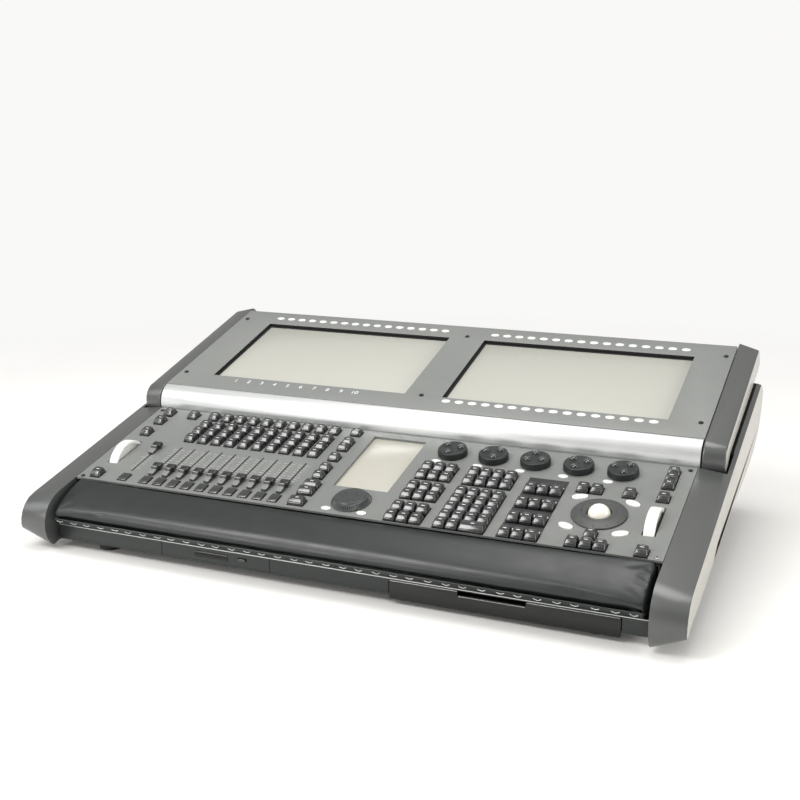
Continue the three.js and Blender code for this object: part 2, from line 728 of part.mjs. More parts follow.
function headCheek(side) {
  const outerNose = hingeArc(HINGE.noseRadius - 4.5, 86, 215, 14);
  // (y, z) on the inner face, (y, z) on the outer face
  const stations = [
    ...hingeArc(HINGE.noseRadius, 88, 215, 14).map((point, i) => [point, outerNose[i]]),
    [[262, 3.8], [262, 0]],
    [[530, 3.8], [524, 0]],
    [[538, 8], [531, 4]],
    [[541, 18], [534, 12]],
    [[538.5, 28], [531.5, 21.5]],
    [[533, 36], [525.5, 29.5]],
    [headToSlope(281, 0), headToSlope(273, -5)],
  ];
  return stationPrism(stations, side, HEAD_CHEEK);
}

// ---------- finishes ----------
const FINISHES = {
  panel: { color: 0x8f8f8c, roughness: 0.55, metalness: 0.1 },
  cheek: { color: 0x6d6d69, roughness: 0.4, metalness: 0.1 },
  vinyl: { color: 0x43484a, roughness: 0.5, metalness: 0 },
  black: { color: 0x191b1b, roughness: 0.6, metalness: 0.2 },
  key: { color: 0x1b1d1e, roughness: 0.25, metalness: 0 },
  cap: { color: 0x222425, roughness: 0.45, metalness: 0 },
  knob: { color: 0x2c2f2f, roughness: 0.6, metalness: 0 },
  white: { color: 0xeeeeea, roughness: 0.4, metalness: 0 },
  ball: { color: 0xf3efe2, roughness: 0.15, metalness: 0 },
  silver: { color: 0xd8dadb, roughness: 0.3, metalness: 0.9 },
  screen: { color: 0xd6d6cd, roughness: 0.35, metalness: 0 },
  steel: { color: 0x9a9c9e, roughness: 0.4, metalness: 0.8 },
  board: { color: 0x24553a, roughness: 0.6, metalness: 0 },
  rubber: { color: 0x141414, roughness: 0.9, metalness: 0 },
  ring: { color: 0x4a4b4a, roughness: 0.5, metalness: 0.1 },
};

// ---------- assembly ----------
const group = new THREE.Group();
const base = new THREE.Group();
base.position.set(0, FRONT_Y, SURFACE_HEIGHT);
const slope = new THREE.Group();
slope.rotation.x = PANEL_TILT;
const head = new THREE.Group();
head.position.set(0, HEAD.y, HEAD.z);
head.rotation.x = HEAD_TILT;
group.add(base);
base.add(slope);
slope.add(head);

function add(parent, name, shape, finish) {
  const geometry = toGeometry(shape);
  geometry.computeVertexNormals();
  const mesh = new THREE.Mesh(geometry, new THREE.MeshStandardMaterial(FINISHES[finish]));
  mesh.name = name;
  parent.add(mesh);
}

add(slope, 'control_panel', controlPanel(), 'panel');
add(slope, 'rear_deck', rearDeck(), 'panel');

add(base, 'base_tray', baseTray(), 'black');
add(base, 'rear_panel', rearPanel(), 'black');
add(base, 'front_fascia', frontFascia(), 'black');
add(base, 'drawer_runners', drawerRunners(), 'steel');
add(base, 'media_drive', mediaDrive(), 'black');
add(base, 'eject_button', block(-121.6, -110.4, -48.6, -37.4, -64, -60.4), 'key');
add(base, 'power_supply', powerSupply(), 'steel');
add(base, 'power_switch', powerSwitch(), 'key');
add(base, 'main_board', mainBoard(), 'board');
add(base, 'foot_front', footPair(FEET.frontY), 'rubber');
add(base, 'foot_rear', footPair(FEET.rearY), 'rubber');
add(base, 'left_cheek', baseCheek(-1), 'cheek');
add(base, 'right_cheek', baseCheek(1), 'cheek');
add(base, 'palm_rest', prismX(PALM_REST_OUTLINE, -403.5, 403.5), 'vinyl');
add(base, 'keyboard_drawer', keyboardDrawer(), 'black');
add(base, 'keyboard', keyboard(), 'key');

for (const bank of KEY_BANKS) add(slope, bank.name, keyBank(bank), 'key');
add(slope, 'oval_buttons', ovalButtons(), 'white');
add(slope, 'grand_master_fader', fader(MASTER_X, MASTER_Y), 'cap');
strips.forEach((x, i) => {
  add(slope, `fader_${String(i + 1).padStart(2, '0')}`, fader(x, FADER_Y), 'cap');
});
add(slope, 'fader_bank', faderBank(), 'steel');
encoderXs.forEach((x, i) => {
  add(slope, `encoder_${i + 1}`, encoder(x, radians(ENCODER.turns[i])), 'knob');
});
add(slope, 'jog_wheel', jogWheel(), 'knob');
add(slope, 'left_thumbwheel', thumbwheel(-1), 'white');
add(slope, 'right_thumbwheel', thumbwheel(1), 'white');
add(slope, 'trackball', trackball(), 'ball');
add(slope, 'trackball_ring', trackballRing(), 'ring');
add(slope, 'trackball_cup', trackballCup(), 'black');
add(slope, 'panel_lcd', panelLcd(), 'screen');
add(slope, 'control_board', controlBoard(), 'board');

add(head, 'head_bezel', headBezel(), 'panel');
add(head, 'left_screen', screen(SCREEN.leftX), 'screen');
add(head, 'right_screen', screen(SCREEN.rightX), 'screen');
add(head, 'head_shell', headShell(), 'black');
add(slope, 'silver_bar', silverBar(), 'silver');
add(slope, 'head_left_cheek', headCheek(-1), 'cheek');
add(slope, 'head_right_cheek', headCheek(1), 'cheek');

export default group;
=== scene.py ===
"""
A control console: a sloping panel of keys, faders and wheels, a screen head raised behind it,
a vinyl palm rest along the front edge and a keyboard drawer below.
X runs to the operator's right, Y to the back and Z up. Pieces are laid out in millimetres, in
one of four frames: PANEL (X across, Y up the slope, Z out of the panel), HEAD (the same on the
screen head), BASE (upright, from the panel's front edge) and WORLD (upright, from the origin).
"""
import json
import math
from itertools import product

import bmesh
import bpy
import numpy as np
from mathutils import Matrix, Vector

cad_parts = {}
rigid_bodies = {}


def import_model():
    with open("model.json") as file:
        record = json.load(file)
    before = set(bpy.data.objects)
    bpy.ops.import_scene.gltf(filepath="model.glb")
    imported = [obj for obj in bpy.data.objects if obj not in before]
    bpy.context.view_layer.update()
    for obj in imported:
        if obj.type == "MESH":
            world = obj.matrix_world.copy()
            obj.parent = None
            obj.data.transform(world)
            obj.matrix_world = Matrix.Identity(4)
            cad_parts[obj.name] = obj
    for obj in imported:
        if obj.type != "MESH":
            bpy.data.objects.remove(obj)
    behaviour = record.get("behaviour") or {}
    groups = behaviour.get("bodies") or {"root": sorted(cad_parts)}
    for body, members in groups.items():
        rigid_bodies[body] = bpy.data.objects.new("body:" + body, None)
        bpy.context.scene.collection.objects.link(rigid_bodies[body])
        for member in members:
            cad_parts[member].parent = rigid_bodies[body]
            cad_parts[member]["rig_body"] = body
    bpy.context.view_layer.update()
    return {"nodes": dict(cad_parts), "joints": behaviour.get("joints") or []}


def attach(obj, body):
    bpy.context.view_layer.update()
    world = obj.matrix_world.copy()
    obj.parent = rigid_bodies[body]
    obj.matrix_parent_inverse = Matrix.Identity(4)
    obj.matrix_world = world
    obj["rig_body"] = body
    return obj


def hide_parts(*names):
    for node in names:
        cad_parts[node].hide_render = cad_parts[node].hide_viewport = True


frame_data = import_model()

NODES = frame_data["nodes"]
JOINTS = {joint["name"]: joint for joint in frame_data["joints"]}

# ---------------------------------------------------------------- frames
MM = 0.001
JOG_X, JOG_Y = 1.5, 34.0            # the jog wheel's place on the panel
HEAD_START = (0, 246, 28)           # the head frame's origin, in the panel frame
HEAD_TILT = math.radians(2.24)      # how much steeper than the panel the head stands


def frame_at(origin, *axes):
    """A matrix from millimetres along the three axes to metres."""
    matrix = Matrix.Identity(4)
    for column, axis in enumerate(axes):
        for row in range(3):
            matrix[row][column] = axis[row] * MM
    matrix.translation = origin
    return matrix


AXIS_X, AXIS_Y, AXIS_Z = Vector((1, 0, 0)), Vector((0, 1, 0)), Vector((0, 0, 1))
UP_SLOPE = Vector(JOINTS["fader_01_travel"]["axis"]).normalized()
PANEL_OUT = Vector(JOINTS["jog_turn"]["axis"]).normalized()
ORIGIN = Vector(JOINTS["jog_turn"]["pos_m"]) - AXIS_X * (JOG_X * MM) - UP_SLOPE * (JOG_Y * MM)
HEAD_ANGLE = math.atan2(UP_SLOPE.z, UP_SLOPE.y) + HEAD_TILT
HEAD_UP = Vector((0, math.cos(HEAD_ANGLE), math.sin(HEAD_ANGLE)))
HEAD_OUT = Vector((0, -math.sin(HEAD_ANGLE), math.cos(HEAD_ANGLE)))

PANEL = frame_at(ORIGIN, AXIS_X, UP_SLOPE, PANEL_OUT)
BASE = frame_at(ORIGIN, AXIS_X, AXIS_Y, AXIS_Z)
HEAD = frame_at(PANEL @ Vector(HEAD_START), AXIS_X, HEAD_UP, HEAD_OUT)
WORLD = frame_at(Vector((0, 0, 0)), AXIS_X, AXIS_Y, AXIS_Z)


def bounds_in(node, frame=PANEL):
    """The low and high corners of a node's box, in a frame's millimetres."""
    inverse = frame.inverted()
    points = np.array([tuple(inverse @ v.co) for v in NODES[node].data.vertices])
    return points.min(0).tolist(), points.max(0).tolist()


def middle_of(node):
    low, high = bounds_in(node)
    return [(a + b) / 2 for a, b in zip(low, high)]


def joint_point(joint):
    return PANEL.inverted() @ Vector(JOINTS[joint]["pos_m"])


# ---------------------------------------------------------------- shader building
PRINCIPLED_INPUTS = {
    "color": "Base Color", "rough": "Roughness", "metal": "Metallic", "coat": "Coat Weight",
    "coat_rough": "Coat Roughness", "spec": "Specular IOR Level", "normal": "Normal",
    "emit": "Emission Color", "emit_strength": "Emission Strength",
}


def srgb(colour):
    """Linear RGBA from 8-bit sRGB."""
    def linear(value):
        value /= 255.0
        return value / 12.92 if value <= 0.04045 else ((value + 0.055) / 1.055) ** 2.4
    return (*map(linear, colour), 1.0)


def scaled(colour, factor):
    return tuple(min(1, value * factor) for value in colour[:3]) + (1,)


class Shader:
    """A material with a Principled surface, textured in object coordinates."""

    def __init__(self, name):
        self.material = bpy.data.materials.new(name)
        self.material.use_nodes = True
        self.tree = self.material.node_tree
        self.tree.nodes.clear()
        self.output = self.node("ShaderNodeOutputMaterial")
        self.principled = self.node("ShaderNodeBsdfPrincipled")
        self.link(self.principled.outputs["BSDF"], self.output.inputs["Surface"])
        self.object_coords = self.node("ShaderNodeTexCoord").outputs["Object"]

    def node(self, kind, **settings):
        node = self.tree.nodes.new(kind)
        for key, value in settings.items():
            setattr(node, key, value)
        return node

    def link(self, source, target):
        self.tree.links.new(source, target)

    def feed(self, socket, value):
        """Sets a socket to a plain value, or links another socket to it."""
        if isinstance(value, (int, float, tuple)):
            socket.default_value = value
        else:
            self.link(value, socket)

    def noise(self, scale, detail, rough, stretch=None, distortion=0.0):
        coords = self.object_coords
        if stretch:
            mapping = self.node("ShaderNodeMapping")
            mapping.inputs["Scale"].default_value = stretch
            self.link(coords, mapping.inputs["Vector"])
            coords = mapping.outputs["Vector"]
        node = self.node("ShaderNodeTexNoise")
        node.inputs["Scale"].default_value = scale
        node.inputs["Detail"].default_value = detail
        node.inputs["Roughness"].default_value = rough
        node.inputs["Distortion"].default_value = distortion
        self.link(coords, node.inputs["Vector"])
        return node.outputs["Fac"]

    def voronoi(self, scale, randomness):
        node = self.node("ShaderNodeTexVoronoi", feature="F1")
        node.inputs["Scale"].default_value = scale
        node.inputs["Randomness"].default_value = randomness
        self.link(self.object_coords, node.inputs["Vector"])
        return node.outputs["Distance"]

    def ramp(self, value, *stops):
        """A ramp between two stops of (position, colour)."""
        node = self.node("ShaderNodeValToRGB")
        for element, (position, colour) in zip(node.color_ramp.elements, stops):
            element.position = position
            element.color = (*colour[:3], 1)
        self.link(value, node.inputs["Fac"])
        return node.outputs["Color"]

    def remap(self, value, source, target):
        node = self.node("ShaderNodeMapRange")
        node.inputs["From Min"].default_value, node.inputs["From Max"].default_value = source
        node.inputs["To Min"].default_value, node.inputs["To Max"].default_value = target
        self.link(value, node.inputs["Value"])
        return node.outputs["Result"]

    def multiply(self, first, second):
        node = self.node("ShaderNodeMath", operation="MULTIPLY")
        self.feed(node.inputs[0], first)
        self.feed(node.inputs[1], second)
        return node.outputs[0]

    def mix(self, factor, first, second, mode="MIX"):
        node = self.node("ShaderNodeMix", data_type="RGBA", blend_type=mode)
        for index, value in ((0, factor), (6, first), (7, second)):
            self.feed(node.inputs[index], value)
        return node.outputs[2]

    def bump(self, height, strength, distance, below=None):
        node = self.node("ShaderNodeBump")
        node.inputs["Strength"].default_value = strength
        node.inputs["Distance"].default_value = distance
        self.link(height, node.inputs["Height"])
        if below is not None:
            self.link(below, node.inputs["Normal"])
        return node.outputs["Normal"]

    def finish(self, **inputs):
        for key, value in inputs.items():
            self.feed(self.principled.inputs[PRINCIPLED_INPUTS[key]], value)
        return self.material


# ---------------------------------------------------------------- kinds of material
def edge_wear(mat, paint, worn):
    """Lighter rubbed edges: where the rounded normal turns away from the true one."""
    geometry = mat.node("ShaderNodeNewGeometry")
    bevel = mat.node("ShaderNodeBevel", samples=4)
    bevel.inputs["Radius"].default_value = 0.0012
    dot = mat.node("ShaderNodeVectorMath", operation="DOT_PRODUCT")
    mat.link(geometry.outputs["Normal"], dot.inputs[0])
    mat.link(bevel.outputs["Normal"], dot.inputs[1])
    edge = mat.remap(dot.outputs["Value"], source=(0.80, 0.995), target=(1.0, 0.0))
    patches = mat.noise(scale=160, detail=5, rough=0.7)
    patches = mat.remap(patches, source=(0.42, 0.68), target=(0.0, 1.0))
    amount = mat.multiply(mat.multiply(edge, patches), 0.55)
    return mat.mix(amount, paint, worn)


def powder(name, colour, rough, speck, bump, metal=0.0, wear=None, coat=0.0, grain=900, smear=1.0):
    """Speckled paint. smear scales how much the roughness wanders."""
    mat = Shader(name)
    base = srgb(colour)
    fine = mat.noise(scale=grain, detail=3, rough=0.6)
    broad = mat.noise(scale=6, detail=3, rough=0.5)
    paint = mat.ramp(fine, (0.35, scaled(base, 1 - speck)), (0.65, scaled(base, 1 + speck)))
    tint = mat.ramp(broad, (0.3, (0.93, 0.935, 0.94)), (0.7, (1.04, 1.035, 1.03)))
    paint = mat.mix(1.0, paint, tint, "MULTIPLY")
    if wear:
        paint = edge_wear(mat, paint, srgb(wear))
    smears = mat.noise(scale=22, detail=4, rough=0.6, stretch=(1, 2.2, 1))
    roughness = mat.remap(smears, source=(0.3, 0.7),
                          target=(rough - 0.05 * smear, rough + 0.07 * smear))
    normal = mat.bump(fine, strength=bump, distance=0.00012)
    return mat.finish(color=paint, rough=roughness, metal=metal, normal=normal, coat=coat,
                      coat_rough=0.25)


def leathery(name, colour, rough, scale, bump, speck=0.12, spec=0.5, wrinkle=0.0, coat=0.0):
    """A pebbled skin. scale sets the size of the pebbles, wrinkle the depth of long creases."""
    mat = Shader(name)
    base = srgb(colour)
    pebbles = mat.voronoi(scale=scale, randomness=0.9)
    grain = mat.noise(scale=scale * 0.35, detail=4, rough=0.6)
    broad = mat.noise(scale=9, detail=4, rough=0.55)
    skin = mat.ramp(broad, (0.3, scaled(base, 1 - speck)), (0.7, scaled(base, 1 + speck)))
    cells = mat.ramp(pebbles, (0.05, (0.86, 0.86, 0.86)), (0.45, (1.03, 1.03, 1.03)))
    skin = mat.mix(1.0, skin, cells, "MULTIPLY")
    normal = mat.bump(pebbles, strength=bump, distance=0.0002)
    normal = mat.bump(grain, strength=bump * 0.7, distance=0.0003, below=normal)
    if wrinkle:
        creases = mat.noise(scale=34, detail=3, rough=0.5, stretch=(0.35, 1.6, 1.6),
                            distortion=0.6)
        normal = mat.bump(creases, strength=wrinkle, distance=0.003, below=normal)
    roughness = mat.remap(mat.noise(scale=30, detail=4, rough=0.6), source=(0.3, 0.7),
                          target=(rough - 0.05, rough + 0.08))
    return mat.finish(color=skin, rough=roughness, normal=normal, spec=spec, coat=coat,
                      coat_rough=0.3)


def glossy(name, colour, rough, coat, dust, bump=0.03, dust_colour=(0.45, 0.44, 0.42, 1)):
    """Smooth plastic with patches of dust."""
    mat = Shader(name)
    patches = mat.noise(scale=55, detail=6, rough=0.7)
    amount = mat.remap(patches, source=(0.5, 0.75), target=(0.0, dust))
    surface = mat.mix(amount, srgb(colour), dust_colour)
    fine = mat.noise(scale=1400, detail=2, rough=0.5)
    roughness = mat.remap(mat.noise(scale=80, detail=5, rough=0.65), source=(0.3, 0.75),
                          target=(rough - 0.04, rough + 0.12))
    normal = mat.bump(fine, strength=bump, distance=0.00008)
    return mat.finish(color=surface, rough=roughness, normal=normal, coat=coat, coat_rough=0.12)


def brushed(name, colour, rough, stretch, bump, metal=1.0):
    """Metal with streaks drawn out by stretch."""
    mat = Shader(name)
    base = srgb(colour)
    streaks = mat.noise(scale=260, detail=5, rough=0.7, stretch=stretch)
    broad = mat.noise(scale=14, detail=3, rough=0.5)
    surface = mat.ramp(streaks, (0.3, scaled(base, 1 - 0.06)), (0.7, scaled(base, 1 + 0.06)))
    tint = mat.ramp(broad, (0.3, (0.96, 0.96, 0.965)), (0.7, (1.02, 1.02, 1.015)))
    surface = mat.mix(1.0, surface, tint, "MULTIPLY")
    roughness = mat.remap(streaks, source=(0.3, 0.7), target=(rough - 0.05, rough + 0.08))
    normal = mat.bump(streaks, strength=bump, distance=0.00006)
    return mat.finish(color=surface, rough=roughness, metal=metal, normal=normal)


def screen_glass(name, colour):
    """A pale screen with a fine grain and a faint glow: the pale colour is painted reflection of
    the bright ceiling, and the glow is painted light.
    """
    mat = Shader(name)
    base = srgb(colour)
    broad = mat.noise(scale=2.2, detail=2, rough=0.4)
    surface = mat.ramp(broad, (0.3, scaled(base, 0.975)), (0.7, base))
    grain = mat.noise(scale=2600, detail=1, rough=0.4)
    grain = mat.ramp(grain, (0.4, (0.985, 0.985, 0.985)), (0.6, (1.0, 1.0, 1.0)))
    surface = mat.mix(1.0, surface, grain, "MULTIPLY")
    smears = mat.noise(scale=5, detail=3, rough=0.5, stretch=(1, 1.4, 1))
    roughness = mat.remap(smears, source=(0.35, 0.65), target=(0.266, 0.274))
    return mat.finish(color=surface, rough=roughness, spec=0.4, coat=0.2, coat_rough=0.22,
                      emit=base, emit_strength=0.05)


EVEN = (1, 1, 1)                # brushing with no direction
ALONG_X = (0.05, 2, 2)          # brushing drawn out along X
MAT = {
    "panel": powder("panel_powder_coat", (123, 125, 123), rough=0.40, metal=0.10, speck=0.09,
                    bump=0.16, wear=(170, 171, 168), coat=0.05),
    "bezel": powder("bezel_powder_coat", (130, 132, 130), rough=0.36, metal=0.12, speck=0.08,
                    bump=0.14, wear=(170, 171, 168), coat=0.08),
    "black": powder("black_powder_coat", (48, 50, 50), rough=0.50, metal=0.05, speck=0.25,
                    bump=0.30, wear=(120, 120, 118), grain=620),
    "black_smooth": powder("black_painted_edge", (17, 19, 19), rough=0.36, metal=0.05,
                           speck=0.15, bump=0.10, grain=800),
    "cheek": powder("cheek_moulding", (74, 76, 75), rough=0.30, speck=0.04, bump=0.03,
                    coat=0.6, grain=1300, smear=0.15),
    # painted reflection: the cheeks' outer sides are painted pale grey, standing in for the bright
    # wall reflected at a grazing angle off the dark moulding
    "side": powder("cheek_side_painted_reflection", (170, 168, 160), rough=0.34, metal=0.05, speck=0.04,
                   bump=0.04, coat=0.3, grain=1300, smear=0.2),
    "vinyl": leathery("palm_vinyl", (23, 28, 28), rough=0.36, scale=820, bump=0.16,
                      speck=0.10, wrinkle=0.08, coat=0.10),
    "key": glossy("keycap_gloss", (34, 37, 37), rough=0.17, coat=0.7, dust=0.05),
    # key legends and fader lines, and also the painted highlight on the flash keys' front edges
    "legend_and_painted_highlight": glossy("key_legend_print_and_painted_highlight", (206, 208, 206), rough=0.35, coat=0.2, dust=0.2),
    "cap": glossy("fader_cap_satin", (34, 37, 37), rough=0.34, coat=0.2, dust=0.07),
    "cap_face": glossy("fader_cap_face", (120, 122, 120), rough=0.36, coat=0.15, dust=0.10),
    "knob": leathery("knob_soft_touch", (34, 37, 37), rough=0.40, scale=1700, bump=0.12,
                     speck=0.10, spec=0.42),
    "dome": glossy("knob_gloss_dome", (12, 13, 14), rough=0.07, coat=1.0, dust=0.03),
    "white": glossy("white_plastic", (238, 238, 234), rough=0.24, coat=0.35, dust=0.10,
                    dust_colour=(0.62, 0.60, 0.55, 1)),
    "lens": glossy("lens_white", (226, 228, 224), rough=0.20, coat=0.5, dust=0.12,
                   dust_colour=(0.55, 0.55, 0.52, 1)),
    "ball": glossy("ball_resin", (240, 236, 224), rough=0.10, coat=0.8, dust=0.10, bump=0.01,
                   dust_colour=(0.75, 0.66, 0.48, 1)),
    "ring": leathery("trackball_ring", (66, 68, 67), rough=0.38, scale=1600, bump=0.10,
                     speck=0.08),
    "bar": brushed("bright_bar", (226, 228, 228), rough=0.34, stretch=(0.03, 3.0, 3.0),
                   bump=0.05, metal=0.72),
    "steel": brushed("zinc_steel", (168, 170, 172), rough=0.34, stretch=EVEN, bump=0.12),
    "alu": brushed("case_aluminium", (176, 178, 180), rough=0.36, stretch=ALONG_X, bump=0.10),
    "screw": brushed("black_screw", (52, 53, 54), rough=0.30, stretch=EVEN, bump=0.10, metal=0.9),
    # painted reflection: the screens and the panel display are painted pale, with a faint painted
    # glow, for the bright ceiling they reflect
    "screen": screen_glass("touch_screen", (176, 176, 168)),
    "lcd": screen_glass("panel_lcd_glass", (177, 175, 165)),
    # painted shade: flat near-black standing in for the shadow in gaps, joints, slots, sockets,
    # vents and recesses
    "gap": powder("shadow_black", (14, 15, 15), rough=0.7, speck=0.2, bump=0.1),
    "rubber": leathery("foot_rubber", (34, 34, 34), rough=0.72, scale=900, bump=0.25),
    "pcb": powder("solder_mask", (28, 92, 58), rough=0.32, speck=0.15, bump=0.05, grain=300),
    "pcb_black": powder("black_solder_mask", (15, 17, 17), rough=0.5, speck=0.15, bump=0.05,
                        grain=300),
    "jog": leathery("jog_soft_touch", (52, 55, 55), rough=0.30, scale=1700, bump=0.06,
                    speck=0.08, spec=0.55, coat=0.2),
    "print": powder("panel_print", (206, 207, 204), rough=0.5, speck=0.1, bump=0.02),
    "number": powder("number_print", (232, 233, 230), rough=0.45, speck=0.06, bump=0.02),
    "inlay": powder("dark_inlay", (40, 41, 41), rough=0.40, speck=0.18, bump=0.12, grain=500),
    "fascia": powder("fascia_paint", (38, 43, 42), rough=0.36, metal=0.05, speck=0.12,
                     bump=0.12, wear=(150, 152, 150), grain=700),
    # painted highlight: bright metal strips on the top edges of the fascia and the drawer front,
    # where the edges catch the light
    "lip": brushed("bright_edge_painted_highlight", (196, 198, 198), rough=0.30, stretch=ALONG_X, bump=0.06,
                   metal=0.8),
    "staple": brushed("staple_wire", (232, 234, 234), rough=0.30, stretch=EVEN, bump=0.03,
                      metal=0.45),
    "strip": powder("staple_strip", (38, 43, 42), rough=0.42, speck=0.15, bump=0.15, grain=500),
    "brass": brushed("contact_brass", (196, 168, 92), rough=0.28, stretch=EVEN, bump=0.05),
}


# ---------------------------------------------------------------- objects
def new_object(name, data):
    obj = bpy.data.objects.new(name, data)
    bpy.context.scene.collection.objects.link(obj)
    return obj


def shade_smooth(mesh):
    mesh.polygons.foreach_set("use_smooth", [True] * len(mesh.polygons))


def mark_sharp(mesh, degrees):
    """Marks edges sharper than the angle, so that smooth shading stops there."""
    bm = bmesh.new()
    bm.from_mesh(mesh)
    for edge in bm.edges:
        if len(edge.link_faces) != 2 or edge.calc_face_angle(0.0) > math.radians(degrees):
            edge.smooth = False
    bm.to_mesh(mesh)
    bm.free()


def face_outward(mesh):
    bm = bmesh.new()
    bm.from_mesh(mesh)
    bmesh.ops.recalc_face_normals(bm, faces=bm.faces)
    bm.to_mesh(mesh)
    bm.free()


class Piece:
    """Collects closed shells in millimetres, then becomes one object."""

    def __init__(self):
        self.points, self.faces, self.face_slots, self.materials = [], [], [], []

    def add(self, shell, material, placement=None):
        points, faces = shell
        start = len(self.points)
        if placement is not None:
            points = [placement @ Vector(p) for p in points]
        self.points += [tuple(p) for p in points]
        if material not in self.materials:
            self.materials.append(material)
        self.faces += [tuple(i + start for i in face) for face in faces]
        self.face_slots += [self.materials.index(material)] * len(faces)

    def build(self, name, body, frame, sharp_angle, replaces=None):
        mesh = bpy.data.meshes.new(name)
        matrix = np.array(frame, float)
        points = np.array(self.points, float) @ matrix[:3, :3].T + matrix[:3, 3]
        mesh.from_pydata(points.tolist(), [], self.faces)
        for key in self.materials:
            mesh.materials.append(MAT[key])
        mesh.polygons.foreach_set("material_index", self.face_slots)
        shade_smooth(mesh)
        mesh.update()
        obj = new_object(name, mesh)
        mark_sharp(mesh, sharp_angle)
        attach(obj, body)
        if replaces:
            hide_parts(replaces)
        return obj


# ---------------------------------------------------------------- shells
def rings(levels):
    """A closed shell through levels of equal point counts, capped at both ends."""
    count = len(levels[0])
    points = [p for level in levels for p in level]
    faces = []
    for k in range(len(levels) - 1):
        low, high = k * count, (k + 1) * count
        for i in range(count):
            j = (i + 1) % count
            faces.append((low + i, low + j, high + j, high + i))
    last = (len(levels) - 1) * count
    faces.append(tuple(reversed(range(count))))
    faces.append(tuple(last + i for i in range(count)))
    return points, faces


def around(x, y, radius, angle):
    return x + radius * math.cos(angle), y + radius * math.sin(angle)


def rect(x0, x1, y0, y1, corner, z, steps=3):
    """A rounded rectangle's points, counter-clockwise."""
    corner = max(0.01, min(corner, (x1 - x0) / 2 - 0.001, (y1 - y0) / 2 - 0.001))
    left, right, front, back = x0 + corner, x1 - corner, y0 + corner, y1 - corner
    points = []
    for x, y, start in ((right, front, -90), (right, back, 0), (left, back, 90),
                        (left, front, 180)):
        for i in range(steps + 1):
            points.append((*around(x, y, corner, math.radians(start + 90 * i / steps)), z))
    return points


def quarter_round(radius, steps):
    """A rounded rim's steps as (inset, distance from the end), from the end inward."""
    angles = [math.radians(90 * i / steps) for i in range(steps + 1)]
    return [(radius * (1 - math.sin(a)), radius * (1 - math.cos(a))) for a in angles]


def box(x0, x1, y0, y1, z0, z1, rim, corner, steps=1):
    """A box with rounded upright corners and rounded rims."""
    rounding = quarter_round(rim, steps)
    stations = [(inset, z0 + rise) for inset, rise in rounding]
    stations += [(inset, z1 - drop) for drop, inset in rounding]
    return rings([rect(x0 + d, x1 - d, y0 + d, y1 - d, max(corner - d, 0.05), z, steps)
                  for d, z in stations])


def ellipse(cx, cy, half_length, half_width, z, steps, angle):
    points = []
    for i in range(steps):
        turn = 2 * math.pi * i / steps
        x, y = half_length * math.cos(turn), half_width * math.sin(turn)
        points.append((cx + x * math.cos(angle) - y * math.sin(angle),
                       cy + x * math.sin(angle) + y * math.cos(angle), z))
    return points


def oval(cx, cy, length, width, z0, z1, angle=0.0, steps=28, dome=0.5):
    """A domed oval button."""
    a, b = length / 2, width / 2
    stations = ((a, b, z0), (a, b, z1 - dome), (a - 0.22, b - 0.22, z1 - dome * 0.45),
                (a - 0.8, b - 0.8, z1 - dome * 0.16), (a * 0.62, b * 0.55, z1))
    return rings([ellipse(cx, cy, *station, steps, angle) for station in stations])


def lathe(profile, cx, cy, steps, wave=None):
    """(radius, height) points turned about Z. wave(angle, radius, z) may change a radius."""
    levels = []
    for radius, z in profile:
        level = []
        for i in range(steps):
            angle = 2 * math.pi * i / steps
            reach = wave(angle, radius, z) if wave else radius
            level.append((*around(cx, cy, reach, angle), z))
        levels.append(level)
    return rings(levels)


def turned_ring(outline, cx, cy, steps):
    """A closed outline of (radius, height), counter-clockwise, turned about Z."""
    count = len(outline)
    points, faces = [], []
    for i in range(steps):
        angle = 2 * math.pi * i / steps
        points += [(*around(cx, cy, radius, angle), z) for radius, z in outline]
    for i in range(steps):
        j = (i + 1) % steps
        for k in range(count):
            q = (k + 1) % count
            faces.append((i * count + k, j * count + k, j * count + q, i * count + q))
    return points, faces


def inset_outline(outline, distance):
    moved = []
    for i in range(len(outline)):
        before, here = Vector(outline[i - 1]), Vector(outline[i])
        after = Vector(outline[(i + 1) % len(outline)])
        edge_in, edge_out = (here - before).normalized(), (after - here).normalized()
        inward = Vector((-edge_in.y, edge_in.x)) + Vector((-edge_out.y, edge_out.x))
        moved.append(here + inward * (distance / max(0.35, 1 + edge_in.dot(edge_out))))
    return moved


def prism(outline, x0, x1, rim, steps=2):
    """A (y, z) outline, counter-clockwise seen from +X, drawn along X with rounded end rims."""
    rounding = quarter_round(rim, steps)
    stations = [(x0 + rise, inset) for inset, rise in rounding]
    stations += [(x1 - drop, inset) for drop, inset in rounding]
    return rings([[(x, p.x, p.y) for p in inset_outline(outline, inset)]
                  for x, inset in stations])


def vent(outer, outer_corner, inner, inner_corner, heights):
    """A raised rim round a sunk slot. Heights: base, rim, inner lip, slot floor."""
    base, rim, lip, floor = heights
    return rings([rect(*outer, outer_corner, base), rect(*outer, outer_corner, rim),
                  rect(*inner, inner_corner, lip), rect(*inner, inner_corner, floor)])


def add_screw(piece, x, y, z=0.0, radius=3.0, height=1.3, turn=0.3, material="screw",
              placement=None):
    """A round screw head with a dark hexagon in its top: painted shade, a flat black hexagon
    standing in for the hollow hex socket.
    """
    hexagon, top = 1.5, z + height
    profile = [(radius, z - 0.2), (radius + 0.02, z + height * 0.35),
               (radius - 0.25, z + height * 0.75), (radius - 0.8, top), (1.55, top),
               (hexagon, top - 0.1)]
    piece.add(lathe(profile, x, y, 28), material, placement)
    corners = [around(x, y, hexagon, turn + k * math.pi / 3) for k in range(6)]
    levels = [[(*corner, height_) for corner in corners] for height_ in (top - 0.05, top + 0.02)]
    piece.add(rings(levels), "gap", placement)


